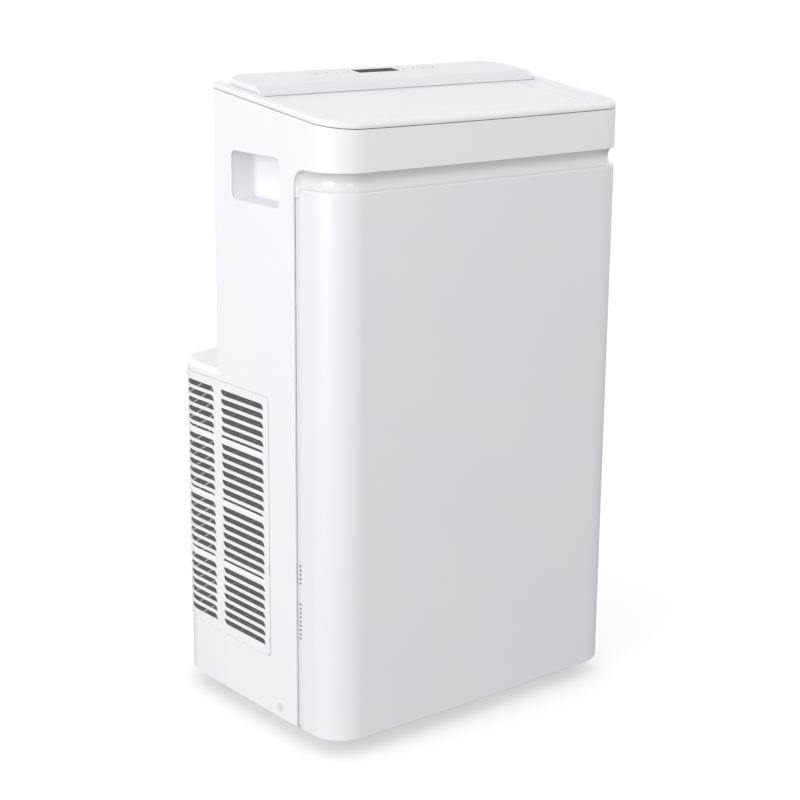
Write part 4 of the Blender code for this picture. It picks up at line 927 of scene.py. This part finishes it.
deck = plan_block("deck_lid", 0, FRONT_SEAM - 0.02, deck_high.z + 0.05, rear_corner=REAR_CORNER)
with editing(deck):
    trim_over(RIM_RISE)
    trim_under(SEAM)
    round_edges(RIM_ROUND, 6, lambda at, way: above_seam(at) > RIM_RISE - TINY
                and at.y < BACK - 0.012)
dish = plan_block("dish", RIM_WIDTH, FRONT_SEAM - 0.02, deck_high.z + 0.06, rear=BACK + 0.02)
with editing(dish):
    trim_under(PLATE_RISE)
cut(deck, dish)
ease(deck, 0.0016, 4)
outlet = rounded_bar("outlet", (-OUTLET_HALF, OUTLET_YS[0], 0.6), (OUTLET_HALF, OUTLET_YS[1], 0.8),
                     "Z", 0.004)
cut(deck, outlet)
cut(deck, add_block("pin_slots", (-OUTLET_HALF - 0.0018, pin_y - 0.0016, 0.6),
                    (OUTLET_HALF + 0.0018, pin_y + 0.0016, 0.8)))
ease(deck, 0.0004, 2)
dress(deck, "cabinet", "casing_white", deck_white_painted_shade, "top_deck")

# %% [markdown]
# ## The outlet flap
#
# A thin door lies flush in the deck and swings up by its rear edge when the unit blows. It
# is a block with round corners, cut to the deck's slope. A shallow recess is cut in its
# underside, which leaves the stiffening frame that shows when the flap is open. A pin at
# each end carries it.

# %% Model the flap
FLAP_THICK = 0.0025
FRAME_WIDTH, FRAME_DEEP = 0.007, 0.0009
PIN_RADIUS = 0.00115
flap_low = (-OUTLET_HALF + FLAP_GAP, OUTLET_YS[0] + FLAP_GAP, 0.6)
flap_high = (OUTLET_HALF - FLAP_GAP, OUTLET_YS[1] - FLAP_GAP, 0.8)
flap = rounded_bar("outlet_door", flap_low, flap_high, "Z", 0.0032)
with editing(flap):
    trim_over(PLATE_RISE)
    trim_under(PLATE_RISE - FLAP_THICK)
recess = rounded_bar("recess", (flap_low[0] + FRAME_WIDTH, flap_low[1] + FRAME_WIDTH, 0.6),
                     (flap_high[0] - FRAME_WIDTH, flap_high[1] - FRAME_WIDTH, 0.8), "Z", 0.003)
with editing(recess):
    trim_over(PLATE_RISE - FLAP_THICK + FRAME_DEEP)
cut(flap, recess)
pin_z = seam_z(pin_y) + PLATE_RISE - FLAP_THICK / 2
ease(flap, 0.0005, 2)
pins = [add_rod("pin", "X", (side * (OUTLET_HALF - 0.0005), pin_y, pin_z), PIN_RADIUS, 0.0038, 16)
        for side in (-1, 1)]
flap = joined("outlet_door", flap, *pins)
dress(flap, "outlet_flap", "casing_white", deck_white_painted_shade, "outlet_flap")

# %% [markdown]
# ## The control panel
#
# Behind the flap sits a shallow wedge with cut rear corners. Its front leans back and meets
# the top in a soft round that catches the light. One block is sliced by six planes, its
# upright corners and then its top edge are bevelled, and pockets are cut for the display
# and the eight buttons.

# %% Model the control panel
CONTROL_HALF = SIDE - 0.014
CONTROL_CHAMFER = 0.020
CONTROL_ROUND = 0.0052
CONTROL_LEAN = 0.0055
CONTROL_RISE = 0.01396
CONTROL_SLOPE = 0.1175
control_front = BACK - CONTROL_DEPTH
control_edge = control_front + CONTROL_LEAN
EDGE_TOP = seam_z(control_edge) + CONTROL_RISE
BUTTON_ROW = BACK - 0.0205
SLOPE_TURN = math.atan(CONTROL_SLOPE)


def control_top(y):
    return EDGE_TOP + CONTROL_SLOPE * (y - control_edge)


def tilted_bar(name, x, y, size, low, high, corner):
    """A round-cornered bar standing square to the control panel's sloping top."""
    width, depth = size
    bar = rounded_bar(name, (-width / 2, -depth / 2, low), (width / 2, depth / 2, high), "Z",
                      corner)
    bar.rotation_euler = (SLOPE_TURN, 0, 0)
    bar.location = (x, y, control_top(y))
    return settle(bar, name)


control = add_block("control_cover", (-CONTROL_HALF, control_front, 0.70),
                    (CONTROL_HALF, BACK, 0.80))
foot_z = seam_z(control_front) + PLATE_RISE + TOUCH
lean_way = Vector((0, foot_z - EDGE_TOP, CONTROL_LEAN)).normalized()
with editing(control):
    trim((0, control_edge, EDGE_TOP), (0, -CONTROL_SLOPE, 1))
    trim_under(PLATE_RISE + TOUCH)
    trim((0, control_edge, EDGE_TOP), lean_way)
    for side in (-1, 1):
        corner = (side * CONTROL_HALF, BACK - CONTROL_CHAMFER, 0)
        trim(corner, (side, 1, 0))
    round_edges(CONTROL_ROUND, 8, lambda at, way: abs(way.x) > 0.9 and at.z > foot_z + 0.004
                and at.y < BACK - 0.01)
ease(control, 0.0013, 3)
BUTTON_SIZE = (0.013, 0.009)
DISPLAY_SIZE = (0.060, 0.017)
POCKET_GAP = 0.0004
button_names = ("timer", "sleep", "down", "up", "fan", "mode", "swing", "power")
button_xs = {}
for name in button_names:
    low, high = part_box("button_" + name)
    button_xs[name] = (low.x + high.x) / 2
pocket_size, display_pocket = [[side + 2 * POCKET_GAP for side in size]
                               for size in (BUTTON_SIZE, DISPLAY_SIZE)]
cut(control, tilted_bar("display_pocket", 0, BUTTON_ROW, display_pocket, -0.0022, 0.01, 0.0012))
for x in button_xs.values():
    cut(control, tilted_bar("pocket", x, BUTTON_ROW, pocket_size, -0.0062, 0.01, 0.0019))
ease(control, 0.00025, 2, angle=40)
dress(control, "cabinet", "panel_white", control_white_painted_shade, "control_panel")

# %% [markdown]
# ## The display and the buttons
#
# The display is a smoked window let into the panel, and it is off. Each button is a small
# cap with round corners and a hollow top that guides the finger. One cap is made at the
# first place and copied, because all eight are the same moulding.

# %% Model the display and the button caps
display = tilted_bar("display_glass", 0, BUTTON_ROW, DISPLAY_SIZE, -0.002, 0.00005, 0.001)
ease(display, 0.0003, 3)
dress(display, "cabinet", "display_black", display_black, "display_window")

first_x = button_xs["timer"]
cap = tilted_bar("button_cap", first_x, BUTTON_ROW, BUTTON_SIZE, -0.0028, 0.0003, 0.0015)
cap_way = Vector((0, -math.sin(SLOPE_TURN), math.cos(SLOPE_TURN)))
with editing(cap):
    pick("FACE", lambda at, way: way.dot(cap_way) > 0.99)
    bpy.ops.mesh.inset(thickness=0.0009)
    bpy.ops.transform.translate(value=-cap_way * 0.00012)
ease(cap, 0.0003, 2)
for name, x in button_xs.items():
    twin = copy_of(cap, "cap_" + name, (x - first_x, 0, 0))
    dress(twin, "button_" + name, "button_white", button_white, "button_" + name)
bpy.data.objects.remove(cap)

# %% [markdown]
# ## The icons
#
# Every cap carries a small printed sign in grey: a clock, a moon, two arrows, a fan, a
# square for the mode, a swinging vane and the usual power sign. They are generic signs, not
# letters. Each is a few flat bars and rings, a tenth of a millimetre high, laid on the cap.

# %% Draw the icons
INK = 0.00042
INK_HIGH = 0.00028


def ink_bar(x0, y0, x1, y1):
    """A thin flat bar between two points of an icon, in millimetres."""
    start, end = Vector((x0, y0, 0)) / 1000, Vector((x1, y1, 0)) / 1000
    way = end - start
    bar = add_block("bar", (-INK / 2, -INK / 2, 0), (way.length + INK / 2, INK / 2, INK_HIGH))
    bar.rotation_euler = (0, 0, math.atan2(way.y, way.x))
    bar.location = start
    return settle(bar, "bar")


def ink_ring(x, y, radius, start=0, end=360):
    """A flat ring, or part of one, by spinning a short bar about its middle."""
    steps = max(4, round((end - start) / 15))
    ring = add_block("ring", (radius / 1000 - INK / 2, -TINY / 4, 0),
                     (radius / 1000 + INK / 2, TINY / 4, INK_HIGH))
    with editing(ring):
        take_away("FACE", lambda at, way: abs(way.y) < 0.9)
        take_away("FACE", lambda at, way: at.y > 0)
        bpy.ops.mesh.select_all(action="SELECT")
        bpy.ops.mesh.spin(steps=steps, angle=-math.radians(end - start), center=(0, 0, 0),
                          axis=(0, 0, 1))
        bpy.ops.mesh.select_all(action="SELECT")
        bpy.ops.mesh.remove_doubles(threshold=1e-6)
        bpy.ops.mesh.select_all(action="SELECT")
        bpy.ops.mesh.normals_make_consistent(inside=False)
    ring.rotation_euler = (0, 0, math.radians(start))
    ring.location = (x / 1000, y / 1000, 0)
    return settle(ring, "ring")


def draw_icon(name):
    if name == "timer":
        return [ink_ring(0, 0, 1.7), ink_bar(0, 0, 0, 1.1), ink_bar(0, 0, 0.8, 0)]
    if name == "sleep":
        return [ink_ring(0, 0, 1.7, 60, 330), ink_ring(1.15, 0.66, 1.5, 105, 285)]
    if name == "down":
        return [ink_bar(-1.6, 0.8, 0, -0.9), ink_bar(0, -0.9, 1.6, 0.8)]
    if name == "up":
        return [ink_bar(-1.6, -0.8, 0, 0.9), ink_bar(0, 0.9, 1.6, -0.8)]
    if name == "fan":
        blades = [(math.cos(a), math.sin(a)) for a in (0.5, 2.6, 4.7)]
        return [ink_ring(0, 0, 0.5)] + [
            ink_ring(1.25 * c, 1.25 * s, 0.6) for c, s in blades]
    if name == "mode":
        return [ink_bar(-1.3, -1.3, 1.3, -1.3), ink_bar(1.3, -1.3, 1.3, 1.3),
                ink_bar(1.3, 1.3, -1.3, 1.3), ink_bar(-1.3, 1.3, -1.3, -1.3),
                ink_ring(0, 0, 0.45)]
    if name == "swing":
        return [ink_ring(0, -1.6, 1.6, 35, 145), ink_ring(0, -1.6, 2.8, 35, 145)]
    return [ink_ring(0, -0.1, 1.6, 115, 425), ink_bar(0, 0.6, 0, 1.9)]


for name, x in button_xs.items():
    sign = joined("icon_" + name, *draw_icon(name))
    sign.rotation_euler = (SLOPE_TURN, 0, 0)
    sign.location = Vector((x, BUTTON_ROW, control_top(BUTTON_ROW))) + cap_way * 0.0001
    settle(sign, "icon_" + name)
    dress(sign, "button_" + name, "inner_grey", icon_ink)

LIGHT_ROW = BUTTON_ROW + 0.0085
for index, x in enumerate(button_xs.values()):
    dot = add_rod(f"lamp_{index}", "Z", (0, 0, 0), 0.0007, 0.0003, 16)
    dot.rotation_euler = (SLOPE_TURN, 0, 0)
    dot.location = (x, LIGHT_ROW, control_top(LIGHT_ROW))
    settle(dot, f"lamp_{index}")
    ease(dot, 0.0001, 1)
    dress(dot, "cabinet", "inner_grey", icon_ink)

# %% [markdown]
# ## The side grilles
#
# Each intake is a plate with two columns of 27 slots, and it lies flush in its seat. A slot
# is shaped like a leaf: its upper front and lower rear corners have a large round, the
# other two are crisp. One slot is made and copied up the plate. Three ribs of the frame
# behind show through every seventh slot.

# %% Cut one flat grille
GRILLE_OUT = (-0.0012, 0.0007)
SLOT_ENDS = ((0.0095, 0.0955), (0.1105, GRILLE_LENGTH - 0.010))
SLOT_HIGH, SLOT_PITCH, SLOT_TOP_IN, SLOT_ROWS = 0.0068, 0.011, 0.0095, 27
RIB_ROWS = (5, 12, 19)
slot_z = [grille_high.z - SLOT_TOP_IN - SLOT_PITCH * row - SLOT_HIGH for row in range(SLOT_ROWS)]

grille = add_block("intake_louvre_left", (0, GRILLE_OUT[0], grille_low.z),
                   (GRILLE_LENGTH, GRILLE_OUT[1], grille_high.z))
with editing(grille):
    round_edges(GRILLE_CORNER, 6, lambda at, way: abs(way.y) > 0.9 and at.x < TINY)


def leaf_slot(start, end, low, high):
    slot = add_block("slot", (start, -0.01, low), (end, 0.01, high))
    with editing(slot):
        for round_corner, radius, steps in ((True, 0.0060, 7), (False, 0.0007, 2)):
            round_edges(radius, steps, lambda at, way: abs(way.y) > 0.9
                        and min(abs(at.x - start), abs(at.x - end)) < TINY
                        and min(abs(at.z - low), abs(at.z - high)) < TINY
                        and ((at.x < start + TINY) == (at.z > high - TINY)) == round_corner)
    return slot


for start, end in SLOT_ENDS:
    first = leaf_slot(start, end, slot_z[0], slot_z[0] + SLOT_HIGH)
    cut(grille, row_of(first, "slots", [(0, 0, z - slot_z[0]) for z in slot_z]))
for z in (0.101, 0.190):
    cut(grille, add_block("clip_gap", (-0.01, -0.01, z), (0.0012, 0.01, z + 0.013)))
print("flat grille", len(grille.data.polygons), "faces")

# %% Lay the grilles in their seats and put the ribs behind them
RIB_OUT = (-0.0013, -0.0003)
ribs = []
for row in RIB_ROWS:
    low = slot_z[row] - 0.001
    rib = add_block("rib", (WINDOW_IN + 0.002, RIB_OUT[0], low),
                    (GRILLE_LENGTH - WINDOW_IN - 0.002, RIB_OUT[1], low + 0.0041))
    with editing(rib):
        round_edges(0.0008, 3, lambda at, way: abs(way.x) > 0.9
                    and at.y > RIB_OUT[1] - TINY and at.z > low + 0.003)
    ribs.append(lay_on_side(rib))
lay_on_side(grille)
ease(grille, 0.0004, 2)
grille = joined("intake_louvre_left", grille, *ribs)
right_grille = mirror_of(grille, "intake_louvre_right")
dress(grille, "intake_left", "casing_white", casing_white, "intake_grille_left")
dress(right_grille, "intake_right", "casing_white", casing_white, "intake_grille_right")

# %% [markdown]
# ## The side filters
#
# A woven screen in a thin frame is clipped behind each grille. It is a flat bar whose outer
# face is inset and pushed in, so that a frame stands round the screen, and it is laid round
# the corner in the same way as the grille.

# %% Model the side filters
SCREEN_OUT = (-0.0030, -0.0014)
SCREEN_IN = WINDOW_IN + 0.001
screen = add_block("intake_screen_left", (SCREEN_IN, SCREEN_OUT[0], grille_low.z + SCREEN_IN),
                   (GRILLE_LENGTH - SCREEN_IN, SCREEN_OUT[1], grille_high.z - SCREEN_IN))
with editing(screen):
    pick("FACE", lambda at, way: way.y > 0.9)
    bpy.ops.mesh.inset(thickness=0.003)
    bpy.ops.mesh.inset(thickness=0.0004)
    bpy.ops.transform.translate(value=(0, -0.0005, 0))
lay_on_side(screen)
ease(screen, 0)
right_screen = mirror_of(screen, "intake_screen_right")
dress(screen, "intake_left", "filter_mesh", filter_screen, "intake_filter_left")
dress(right_screen, "intake_right", "filter_mesh", filter_screen, "intake_filter_right")

# %% [markdown]
# ## The rear cowl
#
# Low at the rear the unit grows a box that holds the condenser. Its upright rear corners
# have a large radius and its shelf a soft edge. The box is bevelled, hollowed by Solidify,
# and cut for the side windows and the cord's gland. It reaches a little past the casing's
# rear, where the casing is cut back to meet it.

# %% Model the rear cowl
SHELF_ROUND = 0.006
gland_low, gland_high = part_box("cord_gland")
gland_middle = (gland_low + gland_high) / 2
cowl_front = BACK - COWL_LAP + TOUCH
cowl = add_block("rear_housing", (-SIDE, cowl_front, BOTTOM), (SIDE, REAR, SHELF))
with editing(cowl):
    round_edges(COWL_CORNER, 16, lambda at, way: abs(way.z) > 0.9 and at.y > REAR - TINY)
    round_edges(SHELF_ROUND, 6, lambda at, way: at.z > SHELF - TINY and at.y > cowl_front + TINY)
    take_away("FACE", lambda at, way: way.z < -0.9 or way.y < -0.9)
modify(cowl, "SOLIDIFY", thickness=WALL, offset=-1, use_even_offset=True)
cut(cowl, add_block("shelf_relief", (-SIDE + 0.014, BACK - 0.03, SHELF - 0.02),
                    (SIDE - 0.014, BACK, SHELF + 0.02)))
for side in (-1, 1):
    reach = sorted((side * (SIDE + 0.02), side * (SIDE - 0.064)))
    cut(cowl, add_block("window", (reach[0], 0, grille_low.z + WINDOW_IN),
                        (reach[1], 0.3, grille_high.z - WINDOW_IN)))
cut(cowl, add_rod("gland_hole", "Y", (gland_middle.x, REAR, gland_middle.z), 0.0114, 0.02, 32))
cut(cowl, *seats())
ease(cowl, 0.0007, 3)
dress(cowl, "cabinet", "casing_white", casing_white, "rear_cowl")

# %% [markdown]
# ## The upper intake door
#
# High on the rear a slotted door tilts out, so that the filter behind it can be washed. It
# is cut like the side grilles but stays flat, and a finger notch breaks its top edge.

# %% Model the upper intake door
door_low, door_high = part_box("rear_intake_door")
DOOR_LAP, DOOR_ROWS, DOOR_SLOT = 0.006, 8, 0.0075
door = rounded_bar("upper_intake_door", door_low, door_high, "Y", 0.004)
row_pitch = (door_high.z - door_low.z - 2 * DOOR_LAP) / DOOR_ROWS
column_pitch = (door_high.x - door_low.x - 2 * DOOR_LAP) / 2
first_low = door_low.z + DOOR_LAP + (row_pitch - DOOR_SLOT) / 2
for column in (0, 1):
    start = door_low.x + 2 * DOOR_LAP + column_pitch * column
    bar = rounded_bar("slot", (start, BACK - 0.01, first_low),
                      (start + column_pitch - 2 * DOOR_LAP, BACK + 0.02, first_low + DOOR_SLOT),
                      "Y", 0.0036)
    cut(door, row_of(bar, "slots", [(0, 0, row_pitch * row) for row in range(DOOR_ROWS)]))
cut(door, add_rod("finger_notch", "Y", (0, BACK, door_high.z + 0.006), 0.010, 0.03, 48))
ease(door, 0.0005, 2)
dress(door, "rear_door", "casing_white", casing_white, "rear_intake_door")

# %% [markdown]
# ## The exhaust collar
#
# The hose twists onto a round socket. Three turned rings are welded, the pipe, its flange
# and a bead near the mouth, then the bore is taken out and four bayonet notches are cut in
# the rim.

# %% Model the exhaust collar
collar_low, collar_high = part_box("exhaust_collar")
collar_z = (collar_low.z + collar_high.z) / 2
PIPE, FLANGE, BEAD, BORE = 0.075, 0.085, 0.0762, 0.0725
RING_SIDES = 96


def ring_rod(name, radius, y_low, y_high):
    return add_rod(name, "Y", (0, (y_low + y_high) / 2, collar_z), radius, y_high - y_low,
                   RING_SIDES)


collar = ring_rod("hose_collar", PIPE, collar_low.y, collar_high.y)
weld(collar, ring_rod("flange", FLANGE, BACK + TOUCH, BACK + TOUCH + WALL),
     ring_rod("bead", BEAD, collar_high.y - 0.008, collar_high.y - 0.005))
cut(collar, ring_rod("bore", BORE, collar_low.y - 0.01, collar_high.y + 0.01))
for quarter in range(4):
    turned = math.radians(45 + 90 * quarter)
    notch = add_block("notch", (-0.006, -0.0045, -0.008), (0.006, 0.0055, 0.008))
    notch.rotation_euler = (0, turned, 0)
    notch.location = (math.sin(turned) * PIPE, collar_high.y - 0.001,
                      collar_z + math.cos(turned) * PIPE)
    cut(collar, settle(notch, "notch"))
ease(collar, 0.0006, 3)
dress(collar, "cabinet", "casing_white", casing_white, "exhaust_collar")

# %% [markdown]
# ## The hand-holds
#
# Each side has a pocket to lift the unit by. A flanged block fills the space behind the
# opening, and a rounded tool hollows it. The tool's deep edges are bevelled first, most at
# the floor, so the fingers meet a smooth scoop.

# %% Model the hand-holds
HOLD_DEPTH = 0.031
HOLD_ROUND = 0.005
left_low, left_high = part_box("hand_hold_left")
mouth_x = left_low.x
hold = add_block("lift_pocket_left", left_low + Vector((0.0018, 0.003, 0.003)),
                 left_high - Vector((0, 0.003, 0.003)))
weld(hold, rounded_bar("flange", left_low, (mouth_x + 0.002, *left_high.yz), "X", 0.009))
hollow = rounded_bar("hollow", (mouth_x - 0.02, *hold_low), (mouth_x + HOLD_DEPTH, *hold_high),
                     "X", 0.0069)
deep_x = mouth_x + HOLD_DEPTH
with editing(hollow):
    round_edges(HOLD_ROUND, 6, lambda at, way: at.x > deep_x - TINY)
cut(hold, hollow)
ease(hold, 0)
right_hold = mirror_of(hold, "lift_pocket_right")
dress(hold, "cabinet", "casing_white", pocket_white, "hand_hold_left")
dress(right_hold, "cabinet", "casing_white", pocket_white, "hand_hold_right")

# %% [markdown]
# ## The drain plug
#
# A soft stopper closes the lower drain. It is a short rod with a rounded head and a finger
# nick cut in its rim.

# %% Model the drain plug
plug = add_rod("drain_stopper", "X", plug_middle, plug_high.z - plug_middle.z,
               plug_high.x - plug_low.x, 48)
NICK = 0.0024
cut(plug, add_rod("nick", "X", (plug_low.x, plug_middle.y - 0.0040, plug_middle.z - 0.0012),
                  NICK, NICK, 24))
ease(plug, 0.0004, 3)
dress(plug, "drain_plug", "casing_white", strip_white_painted_shade, "drain_plug")

# %% [markdown]
# ## The casters
#
# Four small swivel wheels carry the unit. A wheel is a short cylinder with a rounded tread,
# and each of its faces is inset and pushed in round a hub. One is modelled and copied to
# the other three places, which the frame gives.

# %% Model the caster wheels
corners = ("front_left", "front_right", "rear_left", "rear_right")
first_low, first_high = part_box("caster_wheel_front_left")
first_middle = (first_low + first_high) / 2
half_width, _, radius = (first_high - first_low) / 2
wheel = add_rod("roller", "X", first_middle, radius, 2 * half_width, 64)
with editing(wheel):
    round_edges(0.0025, 5, lambda at, way: abs(abs(at.x - first_middle.x) - half_width) < TINY)
    pick("FACE", lambda at, way: abs(way.x) > 0.99)
    bpy.ops.mesh.inset(thickness=0.0035, use_individual=True)
    bpy.ops.mesh.inset(thickness=0.0008, depth=-0.0016, use_individual=True)
    bpy.ops.mesh.inset(thickness=0.0055, use_individual=True)
    bpy.ops.mesh.inset(thickness=0.0008, depth=0.0012, use_individual=True)
cut(wheel, add_rod("axle_hole", "X", first_middle, 0.0030, 0.03, 24))
ease(wheel, 0.0003, 2)
for corner in corners:
    low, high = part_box("caster_wheel_" + corner)
    twin = copy_of(wheel, "roller_" + corner, (low + high) / 2 - first_middle)
    dress(twin, "wheel_" + corner, "tyre_grey", tread_grey, "caster_wheel_" + corner)
bpy.data.objects.remove(wheel)

# %% [markdown]
# ## The screws at the rear
#
# Small cross-head screws hold the rear panel and the housing. A screw is a low cylinder
# with a domed edge and a cross cut in it. It is modelled once and copied.

# %% Model the screws
screw = add_rod("screw", "Y", (0, BACK, 0), 0.0034, 0.0018, 32)
for x, z in ((0.0022, 0.0006), (0.0006, 0.0022)):
    cut(screw, add_block("cross", (-x, BACK + 0.0003, -z), (x, BACK + 0.002, z)))
ease(screw, 0.0004, 2)
panel_screws = [(x, 0.0, z) for x in (-0.190, 0.190) for z in (0.440, 0.590, 0.722)]
housing_screws = [(x, REAR - BACK, z) for x in (-0.135, 0.135) for z in (0.036, 0.398)]
for index, shift in enumerate(panel_screws + housing_screws):
    dress(copy_of(screw, f"rear_screw_{index}", shift), "cabinet", "sheet_steel", sheet_steel)
bpy.data.objects.remove(screw)

# %% [markdown]
# ## Finishes for the parts that keep their shape
#
# The rear panel, the duct and its vanes, the forks and all that lies inside the casing
# already have the right shape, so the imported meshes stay. Each gets a finish from above.

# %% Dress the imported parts
carried = {
    "rear_panel": casing_white,
    "outlet_duct": grey_moulding, "cord_gland": dark_plastic, "base_pan": sheet_steel,
    "drip_tray": grey_moulding, "evaporator_coil": fin_aluminium, "condenser_coil": fin_aluminium,
    "compressor": black_enamel, "accumulator": black_enamel, "suction_pipe": drawn_copper,
    "discharge_pipe": drawn_copper, "electronics_box": grey_moulding, "flap_motor": sheet_steel,
    "rear_filter": filter_screen,
}
carried.update({f"guide_vane_{i}": grey_moulding for i in range(1, 6)})
carried.update({"caster_fork_" + corner: grey_moulding for corner in corners})
for kind in ("evaporator", "condenser"):
    carried[kind + "_blower_housing"] = grey_moulding
    carried[kind + "_blower_motor"] = sheet_steel
    carried[kind + "_blower_wheel"] = wheel_black
for name, finish in carried.items():
    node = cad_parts[name]
    node.data.materials.clear()
    node.data.materials.append(finish)
print(len(carried), "packed parts dressed")
